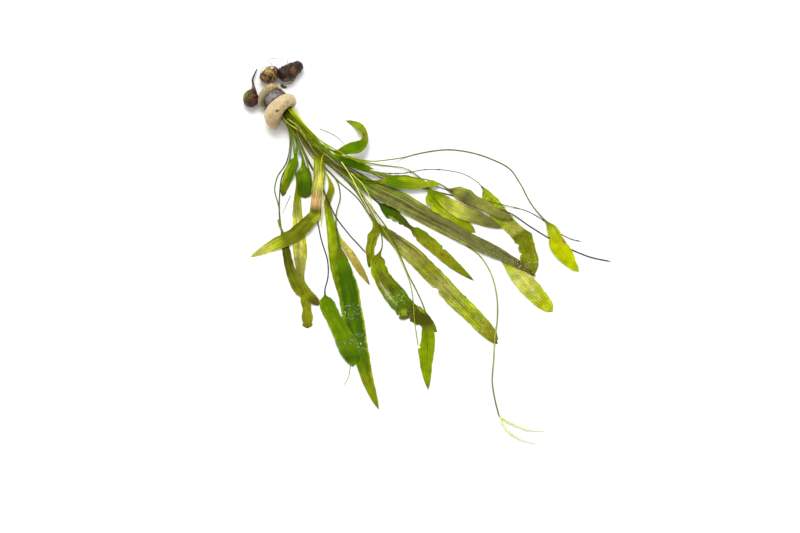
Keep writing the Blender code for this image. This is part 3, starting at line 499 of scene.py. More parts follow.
        marks=((0.5, -0.7, 0.35, 0.3, "bright_green", 0.5), (0.57, 0.3, 0.05, 0.4, "dark_olive", 0.7))),
    "leaf_arched": Look(
        "chartreuse lime bright_olive stem_olive stem_olive stem_olive",
        "0 bright_green, 0.1 lime, 0.3 chartreuse, 0.9 chartreuse, 1 lime",
        0.4, 0.6, 0.07,
        shape=((-0.15, 1.5, 1), (0, 2.6, 2.2), (0.12, 1.7, 1.3), (0.25, 1.2, 1), (0.32, 1.05, 1.2),
               (0.6, 1.12, 1.1), (0.85, 1.1, 1.1), (1, 1.8, 1.8)),
        bites=((0.24, -1, 0.3, 2),),
        marks=((0.4, 0.8, 0.12, 0.3, "ochre", 0.7), (0.4, 0.85, 0.05, 0.2, "rust_and_highlight", 0.6),
               (0.12, 0.7, 0.2, 0.3, "bright_olive", 0.7)), spots=0.1),
}

# Spikes of the flower head: points (x, y) and the radius of the solid at each.
SPIKES = {
    "flower_spike_left": [
        (225.9, -345.6, 0.7), (226.7, -348.8, 1.5), (229, -356, 1.7), (235, -363, 1.9),
        (246.5, -370.5, 1.6), (262, -375.5, 0.8)],
    "flower_spike_right": [
        (226.2, -345.8, 0.7), (229, -348.5, 1.3), (234, -352, 1.8), (242, -356, 1.8),
        (255, -360.5, 1.6), (270, -361.5, 0.8)],
}
# Step between the rings of a spike's core, the share of the solid's radius that the
# florets reach, and the core's share of that
SPIKE_STEP = 0.8
SPIKE_SLIMNESS = 0.8
SPIKE_CORE = 0.45
# Florets over one floret's width of the spike, and how much longer than wide one is
FLORETS_PER_WIDTH = 3.4
FLORET_DRAWN_OUT = 1.35
GOLDEN_ANGLE_DEG = 137.5

# Tubers: points (x, y, z) along the core and the radius at each.
TUBERS = {
    "tuber_left": [
        (-22.6, -8, 5, 2.5), (-23, -5.4, 6.5, 5.6), (-23.6, 1, 7.2, 7.8),
        (-22.6, 6.2, 7.6, 6.6), (-21.4, 9.8, 8, 3.4), (-21.2, 14.4, 7.5, 1.6),
        (-22.2, 23.6, 5.5, 1), (-20.4, 30.3, 3.5, 0.75), (-17.9, 37.4, 2, 0.5)],
    "tuber_middle": [
        (-13.2, 20.8, 6, 2.4), (-11.6, 22.4, 7, 5.4), (-8.2, 24.6, 8, 7.2), (-4, 27.4, 8.6, 7.6),
        (-0.6, 30.4, 8.6, 7), (1.6, 32.6, 8, 5.2), (2.8, 34, 7.6, 2.4)],
    "tuber_dark": [
        (4.6, 23.6, 7, 2.4), (6.4, 24.6, 7.6, 5.2), (9.2, 26.6, 8.4, 7.8),
        (13, 29.4, 8.4, 8.2), (17.5, 33, 8.2, 7.2), (21.5, 35.8, 7.8, 6.2),
        (25.1, 38.6, 7.4, 5.2), (27.9, 41, 7, 2.8)],
}

# A tuber's skin: height of the ripples as a share of the radius, their length in mm, size
# of the knobs in mm and height as a share of the radius, its colour, how much of the skin
# has that colour, and how dark the hollows of the ripples are.
Skin = namedtuple("Skin", "ripple ripple_length knob_size knob_height colour bright ring_dark")
TUBER_SKINS = {
    "tuber_left": Skin(0.02, 4.3, 9.0, 0.05, "tuber", 0.45, 0.0),
    "tuber_middle": Skin(0.05, 3.1, 9.0, 0.09, "tuber_gold", 0.45, 0.75),
    "tuber_dark": Skin(0.02, 4.3, 6.5, 0.11, "tuber", -0.2, 0.0),
}
LEAST_TUBER_RADIUS = 0.2
TUBER_LUMP = 2.4

# Patches on the tubers: middle (x, y, z), radius, colour and strength.
PATCHES = {
    "tuber_left": (
        # The faint rust-coloured patch on top of the left tuber is a reddish painted highlight
        ((-29.5, 3.0, 10.5), 5.0, "olive", 0.7), ((-22.5, 2.0, 15.0), 2.4, "rust_and_highlight", 0.2),
        ((-22.0, 12.0, 9.0), 3.0, "root_tan", 0.4)),
    "tuber_middle": (
        # The pale patch on top of the middle tuber is a painted highlight
        ((-2.5, 32.5, 15.5), 2.0, "bleach_and_highlight", 0.9), ((-6.5, 28.0, 16.0), 3.0, "ochre", 0.5),
        ((-12.5, 21.0, 12.0), 4.0, "rust_and_highlight", 0.2), ((2.0, 27.0, 13.0), 3.0, "tuber_dark", 0.7)),
    "tuber_dark": (
        ((19.0, 29.5, 15.0), 3.4, "rust_and_highlight", 0.35), ((12.0, 22.0, 10.0), 3.2, "tuber_gold", 0.5),
        ((24.0, 41.0, 13.0), 3.0, "tuber", 0.8)),
}

# Foam strip: distance along the axis, offset across it, half width, half height and
# height of the middle. The last three run back down the mouth.
FOAM_SECTIONS = (
    (-13.5, -0.4, 5.0, 4.0, 10.0), (-12.8, -0.6, 9.6, 8.2, 10.4),
    (-10.8, -1.4, 13.4, 11.2, 11.0), (-8.2, -1.8, 14.2, 12.0, 11.2),
    (-6.2, -1.7, 13.6, 11.8, 10.8), (-5.1, -0.6, 11.4, 11.2, AXIS_HEIGHT),
    (-4.9, 0.0, 9.6, 9.5, AXIS_HEIGHT), (-4.5, 0.0, WAIST_RADIUS, WAIST_RADIUS, AXIS_HEIGHT),
    (4.5, 0.0, WAIST_RADIUS, WAIST_RADIUS, AXIS_HEIGHT),
    (5.1, -0.3, 10.4, 9.8, AXIS_HEIGHT), (6.6, -1.2, 13.6, 12.2, 11.8),
    (9.5, -1.8, 16.6, 14.4, 13.4), (14.0, -2.0, 18.0, 15.3, 14.2),
    (19.5, -2.0, 18.2, 15.6, 14.4), (23.5, -1.8, 16.8, 14.2, 14.5),
    (25.0, -1.6, 14.0, 12.2, 14.5),
    (MOUTH_AT, STALKS_SHIFT, MOUTH_HALF_WIDTH + 0.7, MOUTH_HALF_HEIGHT + 0.6, MOUTH_HEIGHT),
    (21.0, STALKS_SHIFT, MOUTH_HALF_WIDTH, MOUTH_HALF_HEIGHT - 0.4, MOUTH_HEIGHT),
    (12.2, STALKS_SHIFT, MOUTH_HALF_WIDTH - 0.4, MOUTH_HALF_HEIGHT - 0.8, MOUTH_HEIGHT),
)
# The slit between two turns at the foam's top, painted on as a dark shadow: its middle x, y, z and its half
# sizes
FOAM_SLIT = (3.3, -22.5, 28.0)
FOAM_SLIT_SIZE = (1.5, 1.0, 3.0)
# Widths of the foam's large and small lumps
FOAM_SWELL = 13.0
FOAM_LUMP = 4.0
# Crown: distance along the foam's axis, half width and half height
CROWN_SECTIONS = ((12.6, 5.0, 4.5), (13.2, 7.4, 6.6), (15.4, 7.0, 6.0), (16.7, 4.0, 3.2))
CROWN_RIBS = 9

# Lead strip: its section, its gap to the waist, where it starts and how far it is wound
# round the axis, and how far its end rises over its start
WEIGHT_WIDTH = 8.4
WEIGHT_THICKNESS = 1.1
WEIGHT_GAP = 0.35
WEIGHT_INNER_RADIUS = WAIST_RADIUS + WEIGHT_GAP
WEIGHT_START_DEG = 2.0
WEIGHT_TURN_DEG = 398.0
WEIGHT_LAP_RISE = 1.6

# Fine roots, loose threads, torn sheaths and thin stalks: colour, radius and points
# (x, y, z), the free end last.
STRANDS = {
    "root_loop": ("root_pale", 0.42, [
        (-1.6, 33.6, 11.5), (-3, 37, 13.5), (-5.6, 39.4, 14), (-6, 42.2, 13.5), (-2.8, 43.2, 13),
        (1.5, 43.5, 13), (6, 42.4, 13), (10, 39.6, 13.5), (12, 36.5, 13.5), (12.4, 33.5, 12)]),
    "root_stub": ("root_tan", 0.45, [(13.6, 34, 12), (13.6, 37, 14.2), (13.2, 41, 15)]),
    "root_side": ("root_pale", 0.45, [
        (-12.5, 25, 7), (-14.2, 29.5, 8.5), (-11.5, 34.2, 10), (-7, 35, 11.5), (-4.5, 33, 11)]),
    "root_tan": ("root_tan", 0.55, [
        (22.5, 29, 3.5), (19.4, 24.6, 1.2), (16.4, 21.6, 0.8), (11.5, 20.4, 0.8)]),
    "root_pale_low": ("root_pale", 0.5, [(5.5, 21.4, 1.8), (9, 20.6, 1.2), (13.5, 20.8, 0.8)]),
    "root_scrap": ("stem_brown", 1.3, [(6.8, 18.8, 1.2), (9.4, 17.2, 1.1), (12.4, 17, 1)]),
    "thread_upper": ("stem_olive", 0.3, [
        (46, -29.5, 0.4), (54, -33, 0.5), (61, -37, 0.6), (67, -42.5, 2), (73, -52, 6)]),
    "sheath_upper": ("lime", 1.3, [
        (17.2, -13, 14), (20.6, -17.6, 14.4), (27, -26, 12.8), (34.5, -35.5, 11), (44, -47, 9),
        (54, -57, 7)]),
    "sheath_lower": ("bright_green", 1.2, [
        (15.6, -14, 13), (19.2, -18.6, 13.2), (25.5, -27, 11.6), (33, -37, 9.6), (43, -49, 7.6)]),
    "sheath_green": ("stem_green", 1.2, [
        (13, -25.5, 11.5), (15, -30, 9.5), (16.8, -35.5, 7), (18.4, -42, 5), (20.2, -50.5, 4),
        (22.1, -58.5, 4)]),
    "sheath_olive": ("stem_olive", 1.2, [
        (17.5, -28.5, 10), (20, -33.5, 8), (22.2, -39, 6.3), (24, -45.5, 5), (25.2, -53, 4.3),
        (26, -60, 4.2)]),
    "stalk_dark": ("brown_olive", 0.9, [
        (20.6, -33.6, 12.1), (25.2, -40, 9.8), (30.3, -47.2, 7.1), (35.3, -54, 5.1),
        (38.5, -58.5, 4.7)]),
    "stalk_pale": ("pale_olive", 0.55, [
        (13.6, -25.5, 15), (18.2, -30.3, 17.9), (23.9, -34.7, 18), (28.4, -41.6, 18),
        (33, -47.7, 15), (36.2, -52.4, 12), (39.4, -56.8, 9), (43.4, -60.8, 7), (47.2, -63.6, 5.2)]),
    "stalk_lime": ("straw", 0.55, [
        (68.1, -74.4, 17.3), (72.3, -79.7, 14), (75.7, -83.4, 10), (78.7, -88.2, 8.5),
        (81.8, -94.4, 7.5), (85, -101.2, 6.6), (88.3, -107.4, 4.4), (91.4, -113.4, 3),
        (94.4, -119.8, 2.2), (96.9, -125.4, 1.6)]),
    "stalk_thin": ("straw", 0.4, [
        (77.8, -83.8, 10.8), (82.8, -88.2, 8.4), (87.8, -92.3, 7.6), (91.8, -98.2, 5.9),
        (94.9, -103.3, 5), (97.9, -111.4, 3.5), (99.9, -119, 2.9), (100.9, -125, 1.8)]),
    "thread_left": ("stem_grey", 0.3, [(17, -104, 1.6), (13.5, -113, 1.1), (9, -124, 0.8)]),
    "sheath_left": ("stem_green", 1.3, [(5.2, -131.5, 1.3), (6.2, -136.5, 1.1), (7.6, -142, 0.8)]),
    "thread_spoon": ("stem_olive", 0.35, [
        (77.8, -289, 0.5), (77, -297, 0.4), (76, -302.5, 0.4), (71.5, -311.5, 0.4)]),
}


def linear(hex_colour):
    """Linear red, green and blue of an sRGB hex colour."""
    shares = [int(hex_colour[i : i + 2], 16) / 255 for i in (1, 3, 5)]
    return tuple(c / 12.92 if c <= 0.04045 else ((c + 0.055) / 1.055) ** 2.4 for c in shares)


def colour_property(name, description, hex_colour):
    """A colour that can be changed in the panel."""
    return FloatVectorProperty(
        name=name, description=description, subtype="COLOR", size=3, min=0.0, max=1.0,
        default=linear(hex_colour),
    )


def length_property(name, description, default, low, high):
    """A length in metres that can be changed in the panel."""
    return FloatProperty(
        name=name, description=description, default=default, min=low, max=high, unit="LENGTH")


class PlantSizes(bpy.types.PropertyGroup):
    """Sizes of the plant's fine shapes."""

    blade_thickness: length_property(
        "Blade", "Thickness of a leaf blade at its midrib", 0.00035, 0.0002, 0.0008)
    midrib_height: length_property(
        "Midrib", "How far the midrib stands out of the blade", 0.00025, 0.0, 0.0006)
    grid_step: length_property(
        "Grid step", "Distance between the rings of a leaf's mesh", 0.0014, 0.0008, 0.004)
    ruffle_length: length_property(
        "Ruffle length", "Length of one wave of a blade's margin", 0.013, 0.004, 0.05)
    cross_veins: length_property(
        "Cross veins", "Distance between the fine veins across a blade", 0.0017, 0.0008, 0.005)
    foam_cell: length_property(
        "Foam cell", "Width of a pore of the foam", 0.0009, 0.0004, 0.003)
    floret: length_property(
        "Floret", "Width of a floret on the flower's spikes", 0.0017, 0.0008, 0.003)


class PlantColours(bpy.types.PropertyGroup):
    """Colours of the plant and of what holds it."""

    deep_green: colour_property("Deep green", "Darkest leaves", "#456e00")
    mid_green: colour_property("Mid green", "Green leaves", "#6f9600")
    bright_green: colour_property("Bright green", "Young leaves", "#9cb400")
    lime: colour_property("Lime", "Yellow-green leaves", "#c6d22a")
    chartreuse: colour_property("Chartreuse", "Brightest leaf", "#d0d800")
    straw: colour_property("Straw", "Palest parts of yellowing leaves", "#efec78")
    bright_olive: colour_property("Bright olive", "Light olive leaves", "#a2a81a")
    pale_olive: colour_property("Pale olive", "Glassy olive leaves", "#bcbb5c")
    olive: colour_property("Olive", "Olive leaves", "#868c14")
    dark_olive: colour_property("Dark olive", "Dark olive leaves", "#565a0a")
    brown_olive: colour_property("Brown olive", "Browning leaves", "#806f2e")
    ochre: colour_property("Ochre", "Wilted leaf", "#cfbb58")
    # Bleached patches of the leaves, and a painted highlight on the middle tuber
    bleach_and_highlight: colour_property("Bleached", "Bleached patches", "#ddd6a4")
    tan: colour_property("Tan", "Fading part of the folded leaf", "#eac488")
    grey_olive: colour_property("Grey olive", "Greyed olive tissue", "#8a8a4e")
    # Rusty patches of the leaves and tubers, and a reddish painted highlight on the left tuber
    rust_and_highlight: colour_property("Rust", "Rusty patches", "#b0620f")
    stem_green: colour_property("Green stem", "Green stalks", "#7f9c18")
    stem_olive: colour_property("Olive stem", "Grey-olive stalks", "#828c3a")
    stem_grey: colour_property("Grey stem", "Grey-green stalks", "#646c3c")
    stem_brown: colour_property("Brown stem", "Dark bare stems", "#46442c")
    flower: colour_property("Flower", "Florets of the spikes", "#fafae0")
    flower_green: colour_property("Flower green", "Core of the spikes", "#d2e258")
    foam: colour_property("Foam", "Foam strip", "#dcc99a")
    # Stain at the mouth, partly painted shade round the stalks
    foam_tan: colour_property("Foam tan", "Stained foam at the mouth", "#a5824a")
    foam_grey: colour_property("Foam grey", "Foam greened by water", "#96966e")
    lead: colour_property("Lead", "Lead weight", "#948a8c")
    lead_dark: colour_property("Dark lead", "Tarnish in the lead's hollows", "#4a4244")
    tuber: colour_property("Tuber", "Brown tuber skin", "#52301a")
    tuber_dark: colour_property("Dark tuber", "Darkest tuber skin", "#1e120e")
    tuber_gold: colour_property("Golden tuber", "Golden tuber skin", "#9c7430")
    root_pale: colour_property("Pale root", "Fine pale roots", "#cfc096")
    root_tan: colour_property("Tan root", "Thicker roots", "#a58a5e")
    floor: colour_property("Floor", "Floor", "#fbfbfb")


def colour(name):
    """A named colour of the plant as a linear array."""
    return np.array(getattr(bpy.context.scene.plant_colours, name))


def in_mm(name):
    """A named size of the plant in millimetres."""
    return getattr(bpy.context.scene.plant_sizes, name) / MM


# Curves and stations


def unit(value):
    """The value, held between 0 and 1."""
    return np.clip(value, 0, 1)


def rising(value, start, reach):
    """0 up to the start, 1 once the value is past it by the reach, and straight between."""
    return unit((value - start) / reach)


def turn_angles(sides):
    """Angles of this many even steps round a full turn."""
    return np.linspace(0, 2 * math.pi, sides, endpoint=False)


def read_rows(at, places, rows):
    """Rows read between their own places, straight from one to the next in each column."""
    return np.stack([np.interp(at, places, column) for column in rows.T], axis=-1)


def smooth_curve(points, knots, count):
    """Values along a smooth curve through the points, which it meets at the knots: a
    cubic Hermite curve whose slopes are the averages of the neighbouring chords'."""
    slopes = np.gradient(points, knots, axis=0)
    at = np.linspace(knots[0], knots[-1], count)
    low = np.clip(np.searchsorted(knots, at, side="right") - 1, 0, len(knots) - 2)
    span = (knots[low + 1] - knots[low])[:, None]
    f = (at - knots[low])[:, None] / span
    return (
        points[low] * (1 + 2 * f) * (1 - f) ** 2
        + points[low + 1] * f**2 * (3 - 2 * f)
        + span * slopes[low] * f * (1 - f) ** 2
        + span * slopes[low + 1] * f**2 * (f - 1)
    )


def travelled(points, axes=2):
    """Distance from the first point to each of them, over the first two axes or more."""
    steps = np.linalg.norm(np.diff(points[:, :axes], axis=0), axis=1)
    return np.concatenate(([0.0], np.cumsum(steps)))


def evenly(points, step):
    """The smooth curve through the points, read at even steps of about this length."""
    points = np.asarray(points, dtype=float)
    fine = smooth_curve(points, travelled(points), FINE_COUNT)
    gone = travelled(fine)
    count = max(2, round(gone[-1] / step) + 1)
    return read_rows(np.linspace(0.0, gone[-1], count), gone, fine)


def mouth_point(distance, across):
    """Place on the table of a point this far along the foam's axis and to its side."""
    return AXIS * distance + ACROSS * across


def route_rows(route):
    """Rows x, y, width and twist for the whole leaf, and the row where its blade starts."""
    across = route.slot * STALKS_APART + STALKS_SHIFT
    start = [mouth_point(STALKS_START, across), mouth_point(STALKS_CLEAR, across)]
    rows = [(x, y, STALK, 0.0) for x, y in [*start, *route.stalk]]
    base = len(rows) - 1
    for x, y, width, *twist in route.blade:
        rows.append((x, y, width, twist[0] if twist else 0.0))
    return np.array(rows, dtype=float), base


def stations_of(route, stalk_step, blade_step):
    """Stations x, y, width, twist along a leaf, its blade's first one, and its crease's."""
    rows, base = route_rows(route)
    if not route.blade:
        stations = evenly(rows, stalk_step)
        return stations, len(stations) - 1, None
    whole = smooth_curve(rows, travelled(rows), FINE_COUNT)
    split = np.argmin(np.hypot(whole[:, 0] - rows[base, 0], whole[:, 1] - rows[base, 1]))
    parts = [evenly(whole[: split + 1], stalk_step)]
    first = len(parts[0]) - 1
    crease = None
    if route.crease is None:
        parts.append(evenly(whole[split:], blade_step)[1:])
    else:
        turn = base + 1 + route.crease
        parts.append(evenly(rows[base : turn + 1], blade_step)[1:])
        crease = sum(map(len, parts)) - 1
        parts.append(evenly(rows[turn:], blade_step)[1:])
    stations = np.concatenate(parts)
    stations[:, 2] = np.maximum(stations[:, 2], TIP_WIDTH)
    return stations, first, crease


def solid_points(name):
    """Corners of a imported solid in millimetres."""
    mesh = frame["nodes"][name].data
    flat = np.empty(len(mesh.vertices) * 3)
    mesh.vertices.foreach_get("co", flat)
    return flat.reshape(-1, 3) / MM


def solid_heights(name, stations, crease):
    """Height of the solid's middle at each of its stations: half way between the lowest
    and highest of its corners that stand there. Where a leaf is folded over itself, its
    lowest corners are those before its crease, and its highest ones those after it."""
    corners = solid_points(name)
    apart = np.hypot(
        stations[:, None, 0] - corners[None, :, 0], stations[:, None, 1] - corners[None, :, 1]
    )
    near = apart < STATION_REACH
    if not near.any(axis=1).all():
        raise RuntimeError(f"{name}: the packed solid has no corners at some stations")
    low = np.where(near, corners[:, 2], np.inf).min(axis=1)
    high = np.where(near, corners[:, 2], -np.inf).max(axis=1)
    middle = (low + high) / 2
    if crease is not None:
        half = SOLID_BLADE / 2 * np.ones(len(stations))
        half[stations[:, 2] < BLADE_FROM_WIDTH] = STALK / 2
        middle[: crease + 1] = (low + half)[: crease + 1]
        middle[crease + 1 :] = (high - half)[crease + 1 :]
    return middle


def waves(at, seed, octaves=3):
    """A smooth wandering value of about -1 to 1: a sum of sines of rising frequency whose
    phases come from the seed. Each is 1.5 times lower than the one before."""
    phases = np.random.default_rng(seed).uniform(0, 2 * math.pi, octaves)
    total = np.zeros_like(at, dtype=float)
    for octave, phase in enumerate(phases):
        total += np.sin(at * (1.0 + 0.83 * octave) * 1.7**octave + phase) / (1.5**octave)
    return total / 1.9


# Meshes and materials


def placed(name, data):
    """A new object of the scene that shows this mesh, lamp or camera."""
    made = bpy.data.objects.new(name, data)
    bpy.context.scene.collection.objects.link(made)
    return made


def mesh_piece(name, points, faces):
    """A smooth mesh through points in millimetres, as a piece of the scene."""
    mesh = bpy.data.meshes.new(name)
    mesh.from_pydata((points * MM).tolist(), [], faces)
    mesh.shade_smooth()
    return placed(name, mesh)


def ring_quads(count, sides):
    """Corners of the quads between each ring and the next, for rings of equally many
    points that are numbered one ring after the other."""
    here = np.arange(count * sides).reshape(count, sides)
    after = np.roll(here, -1, axis=1)
    return np.stack([here[:-1], after[:-1], after[1:], here[1:]], axis=-1).reshape(-1, 4)


def loft(name, rings):
    """One body through rings of equally many points, in millimetres: quads between each
    ring and the next, and a flat face over each end."""
    count, sides = rings.shape[:2]
    first = list(range(sides))
    last = list(range((count - 1) * sides, count * sides))
    faces = ring_quads(count, sides).tolist() + [first[::-1], last]
    return mesh_piece(name, rings.reshape(-1, 3), faces)


def add_tint(piece, tint):
    """Stores a linear colour for each point as the attribute that the materials read."""
    tint = np.asarray(tint, dtype=float).reshape(-1, 3)
    shades = np.column_stack([unit(tint), np.ones(len(tint))])
    attribute = piece.data.color_attributes.new("tint", "FLOAT_COLOR", "POINT")
    attribute.data.foreach_set("color", shades.astype(np.float32).ravel())


def add_vector(piece, name, shape, parts):
    """Stores three values for each point as one attribute. shape is that of the rings and
    sides, over which each part is spread."""
    vectors = np.stack([np.broadcast_to(part, shape) for part in parts], axis=-1)
    attribute = piece.data.attributes.new(name, "FLOAT_VECTOR", "POINT")
    attribute.data.foreach_set("vector", vectors.astype(np.float32).ravel())


def finish_piece(piece, material, *nodes, slot=None):
    """Gives a piece its material, sets it on the root body and hides the imported solids of
    the nodes that it stands for. slot is not used."""
    piece.data.materials.append(material)
    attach(piece, "root")
    if nodes:
        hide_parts(*nodes)


def add(tree, kind, values=None, **settings):
    """Adds a node. values gives its inputs by name or number: a value, or what is linked to
    it, which is a socket, or a node for its first output."""
    made = tree.nodes.new(kind)
    for key, value in settings.items():
        setattr(made, key, value)
    for key, value in (values or {}).items():
        if isinstance(value, bpy.types.Node):
            value = value.outputs[0]
        if isinstance(value, bpy.types.NodeSocket):
            tree.links.new(value, made.inputs[key])
        else:
            made.inputs[key].default_value = value
    return made


def span(low, high, to_low, to_high):
    """Inputs by which a Map Range node turns one range of values into another."""
    return {"From Min": low, "From Max": high, "To Min": to_low, "To Max": to_high}


def opaque(hex_colour):
    """The linear red, green, blue and full alpha of an sRGB hex colour."""
    return (*linear(hex_colour), 1.0)


def start_material(name):
    """A material and its empty node tree, or no tree if it has been made already."""
    material = bpy.data.materials.get(name)
    if material is not None:
        return material, None
    material = bpy.data.materials.new(name)
    material.use_nodes = True
    material.node_tree.nodes.clear()
    return material, material.node_tree


def tissue_veins(tree, along, across, place):
    """Two patterns that are 1 on a vein and fall to 0 beside it: long veins at even steps
    across the blade, the middle one the midrib, and a ladder of fine ones that bend."""
    long_at = add(tree, "ShaderNodeMath", {0: across, 1: LONG_VEINS / 2}, operation="MULTIPLY")
    rung_at = add(
        tree, "ShaderNodeMath", {0: along, 1: 1.0 / in_mm("cross_veins")},
        operation="MULTIPLY")
    bend = add(tree, "ShaderNodeTexNoise", {"Vector": place, "Scale": RUNG_BENDS, "Detail": 1.0})
    rung_at = add(tree, "ShaderNodeMath", {0: rung_at, 1: bend}, operation="ADD")
    veins = []
    for at, half_width in ((long_at, 0.14), (rung_at, 0.2)):
        off = add(tree, "ShaderNodeMath", {0: at, 1: 0.5}, operation="PINGPONG")
        veins.append(add(
            tree, "ShaderNodeMapRange", {"Value": off, **span(0.0, half_width, 1.0, 0.0)},
            interpolation_type="SMOOTHSTEP"))
    return veins


def tissue_streaks(tree, along, across, strength):
    """Factor of the brightness: noise drawn out about twenty times or more along the blade,
    as strong as the veins."""
    far = add(tree, "ShaderNodeMath", {0: along, 1: 0.03}, operation="MULTIPLY")
    wide = add(tree, "ShaderNodeMath", {0: across, 1: 5.5}, operation="MULTIPLY")
    drawn = add(tree, "ShaderNodeCombineXYZ", {0: far, 1: wide, 2: 0.0})
    streak = add(
        tree, "ShaderNodeTexNoise", {"Vector": drawn, "Scale": 1.0, "Detail": 4.0, "Roughness": 0.6})
    streak = add(tree, "ShaderNodeMapRange", {"Value": streak, **span(0.3, 0.7, -0.4, 0.34)})
    return add(tree, "ShaderNodeMath", {0: streak, 1: strength, 2: 1.0}, operation="MULTIPLY_ADD")


def dotted(tree, body, place, cells, edges, strength, hex_colour):
    """The body's colour with dots over it, where noise of so many cells per metre passes
    its two edges, as strong as the blade carries them. The colours of a Mix node are its
    inputs 6 and 7 and its output 2."""
    dot = add(tree, "ShaderNodeTexNoise", {"Vector": place, "Scale": cells, "Detail": 2.0})
    dot = add(tree, "ShaderNodeMapRange", {"Value": dot, **span(*edges, 0.0, 1.0)})
    dot = add(tree, "ShaderNodeMath", {0: dot, 1: strength}, operation="MULTIPLY", use_clamp=True)
    return add(
        tree, "ShaderNodeMix", {0: dot, 6: body, 7: opaque(hex_colour)}, data_type="RGBA"
    ).outputs[2]


def leaf_material(name, through, clear=0.0):
    """Living leaf tissue under a film of wax, wet: soft gloss, light coming through the
    blade, long veins with a ladder of fine ones between them, streaks and brown spots."""
    material, tree = start_material(name)
    if tree is None:
        return material
    tint = add(tree, "ShaderNodeAttribute", attribute_name="tint").outputs["Color"]
    blade = add(tree, "ShaderNodeAttribute", attribute_name="blade").outputs["Vector"]
    marks = add(tree, "ShaderNodeAttribute", attribute_name="marks").outputs["Vector"]
    along, across, _ = add(tree, "ShaderNodeSeparateXYZ", {0: blade}).outputs
    spots, specks, veins = add(tree, "ShaderNodeSeparateXYZ", {0: marks}).outputs
    place = add(tree, "ShaderNodeTexCoord").outputs["Object"]
    vein, rung = tissue_veins(tree, along, across, place)
    mottle = add(tree, "ShaderNodeTexNoise", {"Vector": place, "Scale": MOTTLES, "Detail": 3.0})

    # Brightness: streaks, mottling, and veins that are darker than the tissue
    value = tissue_streaks(tree, along, across, veins)
    strong = add(tree, "ShaderNodeMath", {0: vein, 1: veins}, operation="MULTIPLY")
    for pattern, to_range in (
        (mottle, span(0.3, 0.7, 0.72, 1.2)),
        (strong, span(0.0, 1.0, 1.0, 0.5)),
        (rung, span(0.0, 1.0, 1.0, 0.92)),
    ):
        factor = add(tree, "ShaderNodeMapRange", {"Value": pattern, **to_range})
        value = add(tree, "ShaderNodeMath", {0: value, 1: factor}, operation="MULTIPLY")
    body = add(tree, "ShaderNodeHueSaturation", {"Color": tint, "Value": value})

    # Brown spots where the tissue is dying, and pale specks that are painted highlights of the wet blade
    body = dotted(tree, body, place, SPOTS, (0.58, 0.68), spots, "#4a3812")
    body = dotted(tree, body, place, GLINTS, (0.61, 0.66), specks, "#eef2dc")

    # Relief: the veins and the mottling stand out under a film of water
    rough = add(tree, "ShaderNodeMapRange", {"Value": mottle, **span(0.3, 0.7, 0.32, 0.55)})
    relief = add(tree, "ShaderNodeMath", {0: vein, 1: 0.8}, operation="MULTIPLY")
    for pattern, strength in ((rung, 0.3), (mottle, 1.6)):
        relief = add(
            tree, "ShaderNodeMath", {0: pattern, 1: strength, 2: relief},
            operation="MULTIPLY_ADD")
    normal = add(tree, "ShaderNodeBump", {"Height": relief, "Strength": 0.7, "Distance": 0.00018})
    skin = add(
        tree, "ShaderNodeBsdfPrincipled",
        {"Base Color": body, "Roughness": rough, "Specular IOR Level": 0.2,
         "Specular Tint": (0.75, 0.9, 0.12, 1.0), "Normal": normal})
    glow = add(tree, "ShaderNodeHueSaturation", {"Saturation": 1.1, "Value": 1.3, "Color": body})
    inside = add(tree, "ShaderNodeBsdfTranslucent", {"Color": glow, "Normal": normal})
    surface = add(tree, "ShaderNodeMixShader", {0: through, 1: skin, 2: inside})
    if clear:
        gap = add(tree, "ShaderNodeBsdfTransparent", {"Color": opaque("#f4f6d8")})
        surface = add(tree, "ShaderNodeMixShader", {0: clear, 1: surface, 2: gap})
    add(tree, "ShaderNodeOutputMaterial", {"Surface": surface})
    return material


def rough_material(name, grain, depth, roughness, contrast=0.3, metallic=0.0, coat=0.0):
    """A tinted matt or dull surface with a grain of this width in mm: noise of that width
    and noise four times as wide darken the tint, and raise the surface by this depth in
    mm."""
    material, tree = start_material(name)
    if tree is None:
        return material
    tint = add(tree, "ShaderNodeAttribute", attribute_name="tint").outputs["Color"]
    place = add(tree, "ShaderNodeTexCoord").outputs["Object"]
    coarse = add(tree, "ShaderNodeTexNoise", {"Vector": place, "Scale": 250 / grain, "Detail": 4.0})
    fine = add(
        tree, "ShaderNodeTexNoise",
        {"Vector": place, "Scale": 1000 / grain, "Detail": 5.0, "Roughness": 0.65})
    both = add(tree, "ShaderNodeMath", {0: coarse, 1: fine}, operation="ADD")
    value = add(
        tree, "ShaderNodeMapRange",
        {"Value": both, **span(0.7, 1.3, 1 - contrast, 1 + contrast)})
    body = add(tree, "ShaderNodeHueSaturation", {"Color": tint, "Value": value})
    rough = add(
        tree, "ShaderNodeMapRange",
        {"Value": fine, **span(0.3, 0.7, roughness - 0.12, roughness + 0.12)})
    normal = add(tree, "ShaderNodeBump", {"Height": both, "Strength": 0.9, "Distance": depth * MM})
    surface = add(
        tree, "ShaderNodeBsdfPrincipled",
        {"Base Color": body, "Roughness": rough, "Metallic": metallic, "Coat Weight": coat,
         "Specular IOR Level": 0.25, "Normal": normal})
    add(tree, "ShaderNodeOutputMaterial", {"Surface": surface})
    return material


